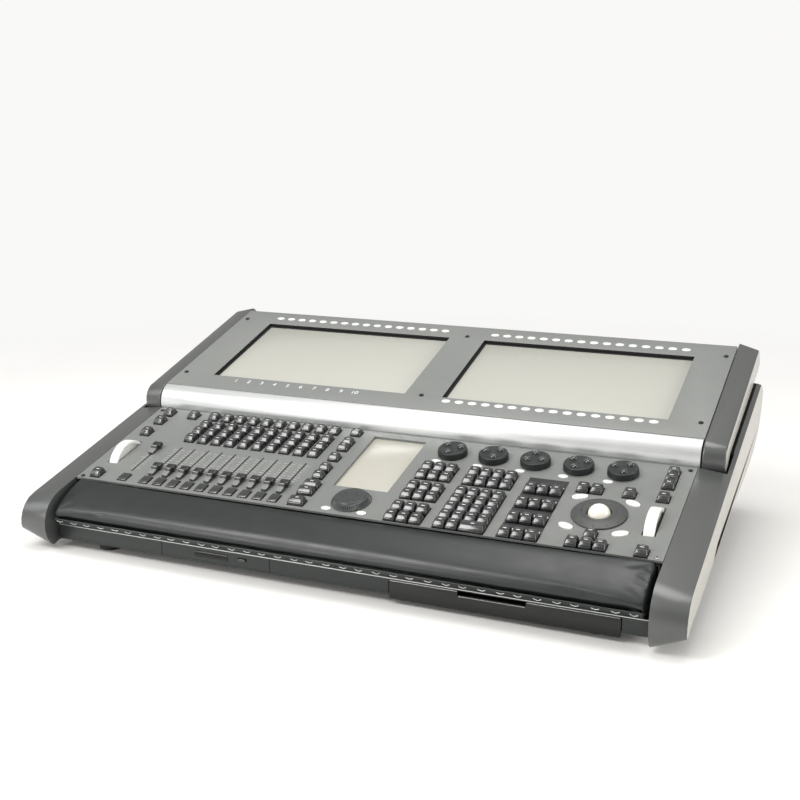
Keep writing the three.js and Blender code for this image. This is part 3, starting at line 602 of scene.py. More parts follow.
# ---------------------------------------------------------------- CAD nodes kept or rounded
def finish_node(node, material, bevel, segments, bevel_angle, sharp_angle=40, paint=()):
    """A copy of a CAD node: welded, flat areas merged, edges rounded by bevel millimetres.

    paint lists (frame, material, rule); rule takes a face's middle and normal in that frame.
    """
    source = NODES[node]
    bm = bmesh.new()
    bm.from_mesh(source.data)
    bmesh.ops.remove_doubles(bm, verts=bm.verts, dist=2e-6)
    bmesh.ops.dissolve_limit(bm, angle_limit=math.radians(0.6), verts=bm.verts, edges=bm.edges)
    limit = math.radians(bevel_angle)
    edges = [e for e in bm.edges if len(e.link_faces) == 2 and e.calc_face_angle(0) > limit]
    bmesh.ops.bevel(bm, geom=edges, offset=bevel * MM, offset_type="OFFSET", segments=segments,
                    profile=0.5, affect="EDGES", clamp_overlap=True)
    bmesh.ops.triangulate(bm, faces=[f for f in bm.faces if len(f.verts) > 4])
    mesh = bpy.data.meshes.new(node + "_finished")
    bm.to_mesh(mesh)
    bm.free()
    mesh.materials.append(MAT[material])
    for index, (frame, second, rule) in enumerate(paint, start=1):
        inverse = frame.inverted()
        rotation = np.array(inverse.to_3x3(), float)
        rotation /= np.linalg.norm(rotation[0])
        mesh.materials.append(MAT[second])
        for face in mesh.polygons:
            if rule(inverse @ face.center, rotation @ np.array(face.normal)):
                face.material_index = index
    shade_smooth(mesh)
    mark_sharp(mesh, sharp_angle)
    obj = new_object(node + "_finished", mesh)
    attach(obj, source["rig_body"])
    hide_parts(node)


def set_material(node, material):
    materials = NODES[node].data.materials
    materials.clear()
    materials.append(MAT[material])


# ---------------------------------------------------------------- panel layout
FADER_XS = [middle_of(f"fader_{i:02d}")[0] for i in range(1, 11)]
FADER_Y = middle_of("fader_01")[1]
GRAND_X, GRAND_Y = middle_of("grand_master_fader")[:2]
KEY_WIDTH, KEY_LENGTH = 15.8, 17.6
LEFT_X, RIGHT_X = -381.5, 381.2             # outermost key columns
ASSIGN_XS, ASSIGN_YS = (216, 232.8, 249.5), (116, 81, 45, 10.5)


def keys(places, width=KEY_WIDTH, length=KEY_LENGTH):
    return [(x, y, width, length) for x, y in places]


KEYS = {
    "left_keys": keys([(LEFT_X, 201), (LEFT_X, 174), (LEFT_X, 138), (LEFT_X, 14.5),
                       (-338, 200)]),
    "playback_keys": keys([(x, y) for y in (135, 155.5, 176, 202) for x in FADER_XS]),
    "centre_keys": keys(product((-68.8,), (204, 175.5, 159.5, 130.5, 102, 81)), length=15.2)
    + keys(product((-67,), (57, 40, 14)), width=22.6, length=15.4),
    "function_keys": keys(product((66.8, 83.6, 100.6), (137.5, 115.5, 85.5, 64.5, 34, 10.8))),
    "keypad_keys": keys(product((132.8, 149.6, 166.4, 183.2), (137.5, 115.5, 86, 67.5, 48.5, 29)))
    + keys([(132.8, 10.2), (149.6, 10.2)]) + keys([(174.8, 10.2)], width=32.6),
    "assign_keys": keys(product(ASSIGN_XS, ASSIGN_YS)),
    "trackball_keys": keys([(280.2, 132), (297.8, 132), (339.2, 132), (315.5, 31),
                            (298.6, 10.2), (315.5, 10.2), (332.4, 10.2)]),
    "right_keys": keys(product((RIGHT_X,), (196.5, 179.7, 162.7)), length=15.6)
    + keys([(RIGHT_X, 132), (RIGHT_X, 10.4)]),
}

# ---------------------------------------------------------------- keys
# (height, side inset, front inset on a full-length key, back inset, corner radius)
KEYCAP = [
    (-3.2, 0.3, 0.2, 0.2, 1.2), (0.0, 0.1, 0.0, 0.0, 1.3), (1.5, 0.0, 0.0, 0.0, 1.5),
    (2.5, 0.1, 0.15, 0.05, 1.7), (3.6, 0.3, 0.75, 0.2, 1.9), (4.7, 0.6, 1.8, 0.35, 2.1),
    (5.7, 0.9, 3.1, 0.55, 2.2), (6.5, 1.2, 4.1, 0.75, 2.2), (7.1, 1.45, 4.7, 1.0, 2.1),
    (7.45, 1.8, 5.1, 1.35, 2.0), (7.5, 2.15, 5.5, 1.7, 1.6), (7.28, 3.0, 6.4, 2.5, 1.6),
    (7.08, 4.6, 8.0, 4.1, 1.6),
]
KEYCAP_TOP = KEYCAP[9]              # the edge of the dished top
# (height, side and back inset, front inset, corner radius)
FLASH_CAP = [
    (-3.2, 0.2, 0.2, 0.9), (0.2, 0.0, 0.0, 1.1), (1.0, 0.0, 0.0, 1.2), (1.7, 0.2, 0.5, 1.2),
    (2.15, 0.5, 1.3, 1.2), (2.4, 0.9, 2.2, 1.1), (2.42, 1.3, 2.9, 1.0), (2.25, 2.4, 4.0, 0.8),
]
# (distance from the cap's front, height)
FLASH_FRONT = [(0.25, 0.5), (2.6, 1.9), (2.5, 2.42), (1.2, 2.0), (0.1, 1.2)]
FLASH_WIDTH, FLASH_LENGTH, FLASH_Y, FLASH_SHIFT = 14, 17.5, 15.7, 0.5
# (x, y, angle)
OVALS = [(280.9, 114, 0.41), (347.7, 113.7, -0.41), (281.6, 45.2, -0.41), (348.2, 44, 0.41)]


def extent(x, y, width, length, gap):
    return (x - width / 2 + gap, x + width / 2 - gap, y - length / 2 + gap, y + length / 2 - gap)


def add_keycap(piece, x, y, width, length):
    x0, x1, y0, y1 = extent(x, y, width, length, 0.15)
    stretch = length / KEY_LENGTH
    piece.add(rings([rect(x0 + side, x1 - side, y0 + front * stretch, y1 - back, corner, z)
                     for z, side, front, back, corner in KEYCAP]), "key")
    # a plain label bar let into the dish
    half = min(2.4, width * 0.16)
    bar_y = (y0 + KEYCAP_TOP[2] * stretch + y1 - KEYCAP_TOP[3]) / 2
    piece.add(box(x - half, x + half, bar_y - 0.2, bar_y + 1.3, 7.0, 7.26, 0.06, 0.25), "legend_and_painted_highlight")


def build_keys():
    for bank, places in KEYS.items():
        piece = Piece()
        for place in places:
            add_keycap(piece, *place)
        piece.build(bank + "_caps", bank, PANEL, 50, bank)


def build_flash_keys():
    """The low keys in front of the faders, each with a pale front edge: a painted highlight, pale
    legend plastic laid on the front edge where it catches the light.
    """
    piece = Piece()
    for x in [GRAND_X] + FADER_XS:
        x0, x1, y0, y1 = extent(x + FLASH_SHIFT, FLASH_Y, FLASH_WIDTH, FLASH_LENGTH, 0.1)
        piece.add(rings([rect(x0 + d, x1 - d, y0 + front, y1 - d, corner, z)
                         for z, d, front, corner in FLASH_CAP]), "key")
        # painted highlight: a pale strip where the front edge catches the light
        front_edge = [(y0 + y, z) for y, z in FLASH_FRONT]
        piece.add(prism(front_edge, x0 + 1.0, x1 - 1.0, rim=0.12, steps=1), "legend_and_painted_highlight")
    piece.build("flash_keys_caps", "flash_keys", PANEL, 50, "flash_keys")


def build_oval_buttons():
    piece = Piece()
    for x, y, angle in OVALS:
        piece.add(oval(x, y, 20.6, 11.2, -4.5, 1.5, angle, steps=40, dome=0.9), "white")
    piece.build("oval_buttons_caps", "oval_buttons", PANEL, 40, "oval_buttons")


# ---------------------------------------------------------------- faders
# (half width, rim radius, material, outline of (y, z)): sole, wide back block, middle block,
# sloping front face
FADER_BLOCKS = [
    (3.8, 0.4, "cap", [(-13, 0.9), (13, 0.9), (13, 2.6), (12.6, 3.1), (-12.2, 3.1),
                       (-12.9, 2.5)]),
    (6.2, 0.9, "cap", [(2.6, 2.9), (13.0, 2.9), (12.7, 6.2), (12.0, 7.7), (10.6, 8.55),
                       (7.6, 8.45), (4.4, 8.1), (2.9, 7.4)]),
    (4.5, 0.6, "cap", [(-3.6, 2.9), (3.0, 2.9), (3.0, 7.3), (1.4, 8.0), (-1.0, 8.2),
                       (-2.6, 7.7), (-3.5, 6.6)]),
    (4.3, 0.35, "cap_face", [(-12.0, 2.9), (-3.2, 2.9), (-3.2, 6.0), (-5.4, 5.5), (-9.6, 4.7),
                             (-11.5, 4.2), (-12.0, 3.7)]),
]


def build_fader(name, x, y, body):
    piece = Piece()
    for half, rim, material, outline in FADER_BLOCKS:
        piece.add(prism([(y + p, z) for p, z in outline], x - half, x + half, rim), material)
    piece.add(box(x - 4.0, x + 4.0, y - 0.9, y - 0.1, 7.9, 8.32, 0.1, 0.2), "legend_and_painted_highlight")
    for side in (-1, 1):            # grip ribs on the flanks
        flank = x + side * 6.1
        for i in range(5):
            start = y + 4.6 + i * 1.5
            piece.add(box(flank - 0.2, flank + 0.2, start, start + 0.7, 3.6, 6.4, 0.1, 0.1), "cap")
    for i in range(3):              # grip lines across the wide block
        start = y + 5.4 + i * 1.7
        piece.add(box(x - 5.0, x + 5.0, start, start + 0.5, 8.2, 8.72, 0.12, 0.2), "cap")
    piece.add(box(x - 0.6, x + 0.6, y - 4, y + 4, -3.6, 1.2, 0.1, 0.2), "steel")     # stem
    piece.build(name + "_cap", body, PANEL, 40, body)


def build_faders():
    for i, x in enumerate(FADER_XS, start=1):
        build_fader(f"fader_{i:02d}", x, FADER_Y, f"fader_{i:02d}")
    build_fader("grand_master", GRAND_X, GRAND_Y, "grand_master_fader")


# ---------------------------------------------------------------- encoders
# Profiles are (radius, height). The rim's heights are from the knob's flat top.
KNOB_SKIRT = [(3.4, -7.9), (3.4, 0.75), (19.6, 0.75), (20.4, 1.1), (20.45, 1.5), (20.4, 2.4)]
KNOB_RIM = [(20.2, -3.2), (19.9, -1.9), (19.75, -1.2), (19.5, -0.6), (19.0, -0.2),
            (18.3, -0.02), (17.4, 0), (15.5, -0.1), (11.5, -0.28), (7.0, -0.35), (2.0, -0.35)]
# Collar and dome heights are from DOME_BASE under the flat top.
DOME_BASE = 6.9
DOME_COLLAR = [(4.7, 6.3), (5.9, 6.3), (5.9, 6.85), (5.5, 7.1), (4.9, 7.1), (4.7, 6.9)]
DOME = [(4.65, 6.3), (4.85, 7.2), (4.75, 8.0), (4.35, 8.75), (3.65, 9.4), (2.7, 9.9),
        (1.65, 10.2), (0.7, 10.32), (0.2, 10.34)]
DOME_CIRCLE = 11.9
ENCODER_TURNS = (19.4, 47.4, 98.4, 19.4, 47.4)      # where the first dome sits, in degrees


def lifted(profile, height):
    return [(radius, height + z) for radius, z in profile]


def knurl(angle, radius, z):
    if 1.6 < z < 7.9 and radius > 15:
        return radius - 0.32 * (0.5 + 0.5 * math.cos(angle * 40))
    return radius


def build_encoder(number, degrees):
    """A knurled knob with three glossy domes on top."""
    node = f"encoder_{number}"
    centre = joint_point(node + "_turn")
    top = bounds_in(node)[1][2] - 3.4
    base = top - DOME_BASE
    piece = Piece()
    profile = KNOB_SKIRT + lifted(KNOB_RIM, top)
    piece.add(lathe(profile, centre.x, centre.y, 160, knurl), "knob")
    for k in range(3):
        angle = math.radians(degrees) + k * 2 * math.pi / 3
        x, y = around(centre.x, centre.y, DOME_CIRCLE, angle)
        piece.add(turned_ring(lifted(DOME_COLLAR, base), x, y, 30), "knob")
        piece.add(lathe(lifted(DOME, base), x, y, 32), "dome")
    piece.build(node + "_knob", node, PANEL, 42, node)


# ---------------------------------------------------------------- jog wheel
JOG_PROFILE = [
    (3.9, -7.9), (3.9, 0.75), (25.6, 0.75), (26.3, 1.1), (26.3, 1.6), (25.8, 2.3), (24.9, 3.5),
    (23.8, 4.9), (22.8, 6.0), (22.3, 6.5), (21.6, 6.95), (20.6, 7.05), (20.0, 7.05),
    (19.7, 7.3), (19.4, 7.9), (19.0, 8.35), (18.3, 8.55), (17.0, 8.5), (12.0, 8.35), (4.0, 8.3),
]
DIMPLE_RIM = [(4.3, 8.2), (5.3, 8.2), (5.3, 8.62), (4.9, 8.86), (4.5, 8.8), (4.3, 8.5)]
DIMPLE_DISH = [(4.3, 8.1), (4.3, 8.5), (3.6, 8.38), (2.4, 8.3), (1.0, 8.27), (0.3, 8.26)]
DIMPLE_CIRCLE, DIMPLE_START = 11.5, 0.864


def flute(angle, radius, z):
    if 1.2 < z < 6.6 and radius > 20:
        return radius - 1.0 * (0.5 - 0.5 * math.cos(angle * 60)) ** 2
    return radius


def build_jog_wheel():
    wheel = Piece()
    wheel.add(lathe(JOG_PROFILE, JOG_X, JOG_Y, 240, flute), "jog")
    wheel.build("jog_wheel_knob", "jog_wheel", PANEL, 45, "jog_wheel")
    dimples = Piece()               # three raised rims, each round a shiny dish
    for k in range(3):
        x, y = around(JOG_X, JOG_Y, DIMPLE_CIRCLE, DIMPLE_START + k * 2 * math.pi / 3)
        dimples.add(turned_ring(DIMPLE_RIM, x, y, 32), "jog")
        dimples.add(lathe(DIMPLE_DISH, x, y, 28), "dome")
    dimples.build("jog_wheel_dimples", "jog_wheel", PANEL, 40)


# ---------------------------------------------------------------- thumb wheels
THUMB_RADIUS, THUMB_HALF = 39.0, 6.8
# (depth below the rim, inset from the flank), from the hollow side out to the rim
THUMB_FLANK = [(14, 2.4), (6, 2.2), (5, 0.6), (4, 0.15), (1.2, 0), (0.4, 0.3), (0.05, 1.0),
               (0, 2.2)]


def thumb_grip(angle, radius, z):
    if abs(z) < THUMB_HALF - 1.2 and radius > THUMB_RADIUS - 0.3:
        return radius - 0.22 * max(0.0, math.cos(angle * 36)) ** 8
    return radius


def build_thumb_wheel(node):
    """A white wheel on a steel axle along X."""
    profile = [(THUMB_RADIUS - depth, -THUMB_HALF + inset) for depth, inset in THUMB_FLANK]
    profile.append((THUMB_RADIUS, 0))
    profile += [(radius, -z) for radius, z in reversed(profile[:-1])]
    placement = (Matrix.Translation(joint_point(node + "_roll"))
                 @ Matrix.Rotation(math.pi / 2, 4, "Y"))
    piece = Piece()
    piece.add(lathe(profile, 0, 0, 288, thumb_grip), "white", placement)
    piece.add(lathe([(3, -10.3), (3, 10.3)], 0, 0, 24), "steel", placement)
    piece.build(node + "_rim", node, PANEL, 35, node)


# ---------------------------------------------------------------- trackball and its ring
# The ring's slope as (radius, height), from the foot to the inner step
RING_SLOPE = [(34.0, 0.75), (34.5, 1.0), (34.5, 1.5), (34.2, 2.0), (33.2, 2.4), (30.0, 3.1),
              (26.0, 3.95), (23.6, 4.45), (23.0, 4.5), (22.5, 4.4), (22.2, 4.05), (22.0, 3.72),
              (21.4, 3.62), (18.4, 3.62)]
BALL_CLEARANCE = 1.0


def build_trackball():
    centre = joint_point("trackball_roll")
    low, high = bounds_in("trackball")
    radius = (high[2] - low[2]) / 2
    latitudes = [math.pi * (i / 32 - 0.5) for i in range(1, 32)]
    profile = [(radius * math.cos(b), centre.z + radius * math.sin(b)) for b in latitudes]
    ball = Piece()
    ball.add(lathe(profile, centre.x, centre.y, 56), "ball")
    ball.build("trackball_sphere", "trackball", PANEL, 60, "trackball")

    inner = radius + BALL_CLEARANCE
    outline = [(inner + 0.6, 0.75)] + RING_SLOPE
    outline += [(inner + 0.6, 3.6), (inner + 0.1, 3.35), (inner, 2.9)]
    ring = Piece()
    ring.add(turned_ring(outline, centre.x, centre.y, 144), "ring")
    for k in range(12):             # finger grips moulded in the cone
        angle = 2 * math.pi * k / 12
        x, y = around(centre.x, centre.y, 29.4, angle)
        ring.add(oval(x, y, 4.6, 1.1, 2.2, 3.55, angle, steps=16, dome=0.3), "ring")
    ring.build("trackball_ring_cone", "trackball_ring", PANEL, 35, "trackball_ring")


# ---------------------------------------------------------------- marks, lenses and screws
SCALE_START, SCALE_PITCH = 42.5, 6.05
PANEL_LENSES = [(71 + 58.6 * i, 158) for i in range(5)] + [(-24, 11), (26, 11)]
INLAYS = ((20.2, 35.3), (54.7, 71.3), (90.7, 106.3), (125.7, 145.8))     # (front, back)
# (x, y, turn, material)
PANEL_SCREWS = [(-400, 208.5, 0.3, "screw"), (400, 208.5, 1.3, "screw"),
                (-400, 5.5, 2.3, "screw"), (400, 5.5, 0.5, "steel")]
BEZEL_SCREWS = [(-399, 40), (399, 38.8), (400, 235), (-398.5, 238), (1.0, 38.9), (1.5, 235)]
# (first x, pitch, y) of rows of sixteen
HEAD_LENS_ROWS = [(-339, 19.88, 249), (43.7, 19.78, 247), (42.5, 19.75, 29.7)]
NUMBER_START, NUMBER_PITCH, NUMBER_Y = -302, 22.33, 28


def build_scale_marks():
    """Tick marks either side of each fader, longer at every fifth."""
    piece = Piece()
    for x in FADER_XS + [GRAND_X]:
        for k in range(11):
            y = SCALE_START + k * SCALE_PITCH
            length = 6.2 if k % 5 == 0 else 4.2
            for side in (-1, 1):
                start = x + side * 2.6
                x0, x1 = sorted((start, start + side * length))
                piece.add(box(x0, x1, y - 0.22, y + 0.22, -0.05, 0.10, 0.03, 0.05), "print")
    piece.build("fader_scale_marks", "base", PANEL, 30)


def build_panel_lenses():
    piece = Piece()
    for x, y in PANEL_LENSES:
        piece.add(oval(x, y, 13.4, 8.6, -0.4, 0.75), "lens")
    for y in reversed(ASSIGN_YS):   # light bars in the assign strip
        for x in ASSIGN_XS:
            piece.add(box(x - 6.6, x + 6.6, y + 11.4, y + 14.4, -1.3, -0.45, 0.2, 0.5, 2), "lens")
    piece.build("panel_indicator_lenses", "base", PANEL, 40)


def build_inlays():
    """Dark inlays between the rows of the assign strip."""
    piece = Piece()
    for y0, y1 in INLAYS:
        piece.add(box(206.8, 258.7, y0, y1, -1.35, -0.75, 0.1, 0.6), "inlay")
    piece.build("assign_strip_inlays", "base", PANEL, 35)


def build_top_screws():
    panel = Piece()
    for x, y, turn, material in PANEL_SCREWS:
        add_screw(panel, x, y, turn=turn, material=material)
    panel.build("panel_screws", "base", PANEL, 35)
    bezel = Piece()
    for k, (x, y) in enumerate(BEZEL_SCREWS):
        add_screw(bezel, x, y, radius=3.4, height=1.5, turn=0.2 + k)
    bezel.build("bezel_screws", "head", HEAD, 35)


def build_head_lenses():
    piece = Piece()
    for start, pitch, y in HEAD_LENS_ROWS:
        for i in range(16):
            piece.add(oval(start + pitch * i, y, 13.0, 8.6, -0.4, 0.8), "lens")
    piece.build("head_indicator_lenses", "head", HEAD, 40)


def build_strip_numbers():
    """The numbers 1 to 10 under the left screen."""
    for i in range(10):
        curve = bpy.data.curves.new(f"num_{i}", "FONT")
        curve.body = str(i + 1)
        curve.size = 11.5
        curve.extrude = 0.06
        curve.align_x, curve.align_y = "CENTER", "CENTER"
        text = new_object(f"num_{i}", curve)
        bpy.context.view_layer.update()
        depsgraph = bpy.context.evaluated_depsgraph_get()
        mesh = bpy.data.meshes.new_from_object(text.evaluated_get(depsgraph))
        bpy.data.objects.remove(text)
        mesh.name = f"strip_number_{i + 1:02d}"
        place = Matrix.Translation((NUMBER_START + NUMBER_PITCH * i, NUMBER_Y, 0.07))
        mesh.transform(HEAD @ place)
        mesh.materials.clear()
        mesh.materials.append(MAT["number"])
        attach(new_object(f"strip_number_{i + 1:02d}", mesh), "head")


# ---------------------------------------------------------------- case, screens and cheeks
# (node, material, bevel, bevel segments, smallest bevelled angle)
CASE_NODES = [
    ("head_shell", "black", 0.5, 2, 35), ("front_fascia", "fascia", 0.5, 2, 30),
    ("base_tray", "black", 0.4, 1, 30), ("rear_panel", "black", 0.35, 1, 30),
    ("keyboard_drawer", "black_smooth", 0.5, 2, 30), ("left_screen", "screen", 0.5, 2, 30),
    ("right_screen", "screen", 0.5, 2, 30), ("panel_lcd", "lcd", 0.4, 2, 30),
    ("eject_button", "key", 0.6, 3, 30), ("power_switch", "key", 0.7, 3, 20),
    ("media_drive", "black_smooth", 0.3, 1, 30), ("foot_front", "rubber", 1.2, 3, 35),
    ("foot_rear", "rubber", 1.2, 3, 35),
]
INNER_NODES = {
    "drawer_runners": "steel", "power_supply": "alu", "main_board": "pcb",
    # painted shade: the fader bank under the fader slots is shadow black
    "control_board": "pcb_black", "fader_bank": "gap", "trackball_cup": "black_smooth",
}


def screen_windows():
    """The visible part of each screen: (x0, x1, y0, y1, z of the glass)."""
    windows = []
    for node in ("left_screen", "right_screen"):
        low, high = bounds_in(node, HEAD)
        windows.append((low[0] + 3, high[0] - 3, low[1] + 3, high[1] - 3, high[2]))
    return windows


def build_bezel():
    """The head's bezel, and painted shade round the screens: the window walls are painted shadow
    black, and black strips round the glass, widest along the left and top, stand in for the recess
    shadow.
    """
    windows = screen_windows()

    def window_wall(point, normal):
        return abs(normal[2]) < 0.62 and any(
            x0 - 2 < point[0] < x1 + 2 and y0 - 2 < point[1] < y1 + 2
            for x0, x1, y0, y1, _ in windows)

    finish_node("head_bezel", "bezel", 0.7, 3, 30, paint=[(HEAD, "gap", window_wall)])
    piece = Piece()
    # painted shadow strips round the glass: wide along the left and top, thin along the right and
    # bottom
    for x0, x1, y0, y1, z in windows:
        for strip in ((x0 + 0.1, x0 + 3.4, y0 + 0.1, y1 - 0.1),
                      (x1 - 1.6, x1 - 0.1, y0 + 0.1, y1 - 0.1),
                      (x0 + 3.2, x1 - 1.5, y1 - 3.4, y1 - 0.1),
                      (x0 + 3.2, x1 - 1.5, y0 + 0.1, y0 + 1.3)):
            piece.add(box(*strip, z + 0.02, z + 1.0, 0.15, 0.3), "gap")
    piece.build("screen_recess_painted_shadow", "head", HEAD, 35)


# painted shade: the cheeks' ledge under the head cheek is painted shadow black, for the deep dark
# gap between head and base cheeks
def cheek_ledge(point, normal):
    return 408.6 < abs(point[0]) < 444.6 and point[1] > 219 and -34 < point[2] < -0.5


# the faces that take the pale painted reflection on the cheeks' outer sides
def outer_side(limit):
    return lambda point, normal: abs(point[0]) > limit and abs(normal[0]) > 0.97


def build_case():
    finish_node("control_panel", "panel", 0.35, 1, 30)
    finish_node("rear_deck", "panel", 0.4, 1, 30)
    build_bezel()
    for row in CASE_NODES:
        finish_node(*row)
    for node, material in INNER_NODES.items():
        set_material(node, material)
    for node in ("left_cheek", "right_cheek"):
        # the ledges take painted shade (shadow black), the outer sides the pale painted reflection
        finish_node(node, "cheek", 2.2, 4, 22, sharp_angle=50,
                    paint=[(PANEL, "gap", cheek_ledge), (WORLD, "side", outer_side(448))])
    for node in ("head_left_cheek", "head_right_cheek"):
        # the outer sides take the pale painted reflection
        finish_node(node, "cheek", 2.4, 4, 22, sharp_angle=50,
                    paint=[(WORLD, "side", outer_side(440))])
    finish_node("silver_bar", "bar", 0.5, 2, 30, sharp_angle=30)


# ---------------------------------------------------------------- palm rest
# The pad's covered side as (y, z), from the panel's edge over the nose and underneath
PALM = [(-1.2, -0.6), (-9, -1.8), (-20, -5.2), (-31, -10), (-42, -16), (-52, -22.5),
        (-59, -28.5), (-62.2, -33.5), (-61.5, -38.5), (-57.5, -43.5), (-51, -49.5)]
PALM_CORE = [(-47, -50.5), (-1.2, -50.5)]
PALM_INSET = 2.0                    # room left for the vinyl to swell
# Share of the inset taken by the first outline points, which meet the panel at full height
PALM_TOP_SHARES = (0.12, 0.45, 0.8)
# (distance from the end, inset) where the ends round off
PALM_ENDS = [(0.0, 5.4), (0.6, 3.6), (1.7, 2.5), (3.6, 2.05), (7.0, PALM_INSET)]
PALM_HALF = bounds_in("palm_rest", BASE)[1][0]
HEM_START, HEM_END = Vector((-60.3, -40.0)), Vector((-51.6, -48.9))      # (y, z)
HEM_ALONG = (Vector(PALM[-1]) - HEM_START).normalized()
HEM_OUT = Vector((HEM_ALONG.y, -HEM_ALONG.x))


def palm_outline(inset):
    """The pad's side view, drawn in on its covered side only."""
    outline = []
    for i, (y, z) in enumerate(PALM):
        before, after = Vector(PALM[max(0, i - 1)]), Vector(PALM[min(len(PALM) - 1, i + 1)])
        along = (after - before).normalized()
        near_panel = i < len(PALM_TOP_SHARES) and inset <= 2.05
        share = PALM_TOP_SHARES[i] if near_panel else 1.0
        outline.append((y - along.y * inset * share, z + along.x * inset * share))
    return outline + PALM_CORE


def build_palm_pad():
    end = PALM_HALF - 1.2
    stations = [(-end + inward, inset) for inward, inset in PALM_ENDS]
    stations += [(x, PALM_INSET) for x in np.linspace(-PALM_HALF + 40, PALM_HALF - 40, 24)]
    stations += [(end - inward, inset) for inward, inset in reversed(PALM_ENDS)]
    piece = Piece()
    piece.add(rings([[(x, y, z) for y, z in reversed(palm_outline(inset))]
                     for x, inset in stations]), "vinyl")
    pad = piece.build("palm_rest_pad", "base", BASE, 50, "palm_rest")
    face_outward(pad.data)

    core = BASE @ Vector((0, -4.5, -47.5))
    top = (BASE @ Vector((0, 0, -9.0))).z

    def held(point):
        """The back below the top edge, and the underside."""
        return (point[1] > core.y and point[2] < top) or point[2] < core.z

    remesh(pad, voxel=0.0035)
    swell(pad, held, most=0.0022, pressure=4.0, frames=20)
    fine = pad.modifiers.new("fine", "SUBSURF")
    fine.levels = fine.render_levels = 1
    shade_smooth(pad.data)


def remesh(obj, voxel):
    """Evens out a piece's mesh, keeping its materials."""
    modifier = obj.modifiers.new("even", "REMESH")
    modifier.mode = "VOXEL"
    modifier.voxel_size = voxel
    modifier.use_smooth_shade = True
    depsgraph = bpy.context.evaluated_depsgraph_get()
    mesh = bpy.data.meshes.new_from_object(obj.evaluated_get(depsgraph))
    mesh.name = obj.name
    materials = list(obj.data.materials)
    obj.modifiers.clear()
    obj.data = mesh
    mesh.materials.clear()
    for material in materials:
        mesh.materials.append(material)


def swell(obj, held, most, pressure, frames):
    """Swells a piece as vinyl stretched over foam, by most metres at most, and keeps the shape."""
    mesh = obj.data
    rest = np.array([v.co[:] for v in mesh.vertices])
    group = obj.vertex_groups.new(name="held")
    group.add([i for i, point in enumerate(rest) if held(point)], 1.0, "REPLACE")
    modifier = obj.modifiers.new("swell", "CLOTH")
    cloth = modifier.settings
    cloth.quality = 6
    cloth.mass = 0.3
    cloth.tension_stiffness = cloth.compression_stiffness = 18
    cloth.shear_stiffness = 6
    cloth.bending_stiffness = 1.2
    cloth.use_pressure = True
    cloth.uniform_pressure_force = pressure
    cloth.effector_weights.gravity = 0.0
    cloth.vertex_group_mass = "held"
    modifier.point_cache.frame_start, modifier.point_cache.frame_end = 1, frames
    scene = bpy.context.scene
    for number in range(1, frames + 1):
        scene.frame_set(number)
    evaluated = obj.evaluated_get(bpy.context.evaluated_depsgraph_get())
    swollen = np.array([v.co[:] for v in evaluated.to_mesh().vertices])
    evaluated.to_mesh_clear()
    obj.modifiers.clear()
    obj.vertex_groups.clear()
    move = swollen - rest
    length = np.linalg.norm(move, axis=1, keepdims=True)
    length[length < 1e-9] = 1e-9
    move *= np.minimum(length, most) / length
    scene.frame_set(1)
    mesh.vertices.foreach_set("co", (rest + move).ravel())
    mesh.update()


def build_palm_hem():
    """The vinyl's turned-under hem, slightly wavy, along the face below the nose."""
    inner_start, outer_start = HEM_START + HEM_OUT * 0.2, HEM_START + HEM_OUT * 0.9
    inner_end, outer_end = HEM_END + HEM_OUT * 0.2, HEM_END + HEM_OUT * 0.9
    # (point, share of the wave along the face, share of the wave out of it)
    section = ((inner_start, 1, 0), (outer_start, 1, 1), ((outer_start + outer_end) / 2, 0, 1.4),
               (outer_end, -0.6, 1), (inner_end, -0.6, 0))
    steps = 90
    levels = []
    for i in range(steps + 1):
        x = -PALM_HALF + 4 + (2 * PALM_HALF - 8) * i / steps
        slide = 0.35 * math.sin(i * 0.9) + 0.25 * math.sin(i * 2.3 + 1)
        swelling = 0.18 * math.sin(i * 1.7)
        levels.append([(x, p.x + HEM_ALONG.x * slide * along + HEM_OUT.x * swelling * out,
                        p.y + HEM_ALONG.y * slide * along + HEM_OUT.y * swelling * out)
                       for p, along, out in section])
    piece = Piece()
    piece.add(rings(levels), "strip")
    face_outward(piece.build("palm_rest_hem", "base", BASE, 60).data)


def build_staples():
    """A row of staples on the hem, each of two slanting legs meeting in the middle."""
    middle = Vector((-56.2, -44.2)) + HEM_OUT * 1.5
    half_span = 5.0
    wire_along = Vector((0, HEM_ALONG.x, HEM_ALONG.y)) * 0.75
    wire_out = Vector((0, HEM_OUT.x, HEM_OUT.y)) * 0.5
    angles = [math.pi / 3 * k for k in range(6)]
    piece = Piece()
    for i in range(36):
        x = -PALM_HALF + 10 + i * 22.4 + 0.9 * math.sin(i * 2.1)
        if x > PALM_HALF - 8:
            break
        slant = 2.3 + 0.5 * math.sin(i * 1.3)
        for side in (-1, 1):
            levels = []
            for t in (0.0, 0.12, 0.88, 1.0):
                along = slant * (1 - t) * 1.6
                sink = 0.9 if t == 1.0 else 0.0
                p = middle + HEM_ALONG * (along - 1.4) - HEM_OUT * sink
                centre = Vector((x + side * half_span * t, p.x, p.y))
                levels.append([tuple(centre + wire_along * math.cos(a) + wire_out * math.sin(a))
                               for a in angles])
            piece.add(rings(levels), "staple")
    face_outward(piece.build("palm_rest_staples", "base", BASE, 50).data)


# ---------------------------------------------------------------- front face, drawer, keyboard
# Key widths of each keyboard row, from the back row forward, in shares of the row
KEYBOARD_ROWS = [
    [1.0] * 15,
    [1.4] + [1.0] * 12 + [1.6],
    [1.7] + [1.0] * 11 + [2.3],
    [2.2] + [1.0] * 10 + [2.8],
    [1.3, 1.3, 1.3, 6.2, 1.2, 1.2, 1.2, 1.3],
]
KEYBOARD_ROW_PITCH = 22.0
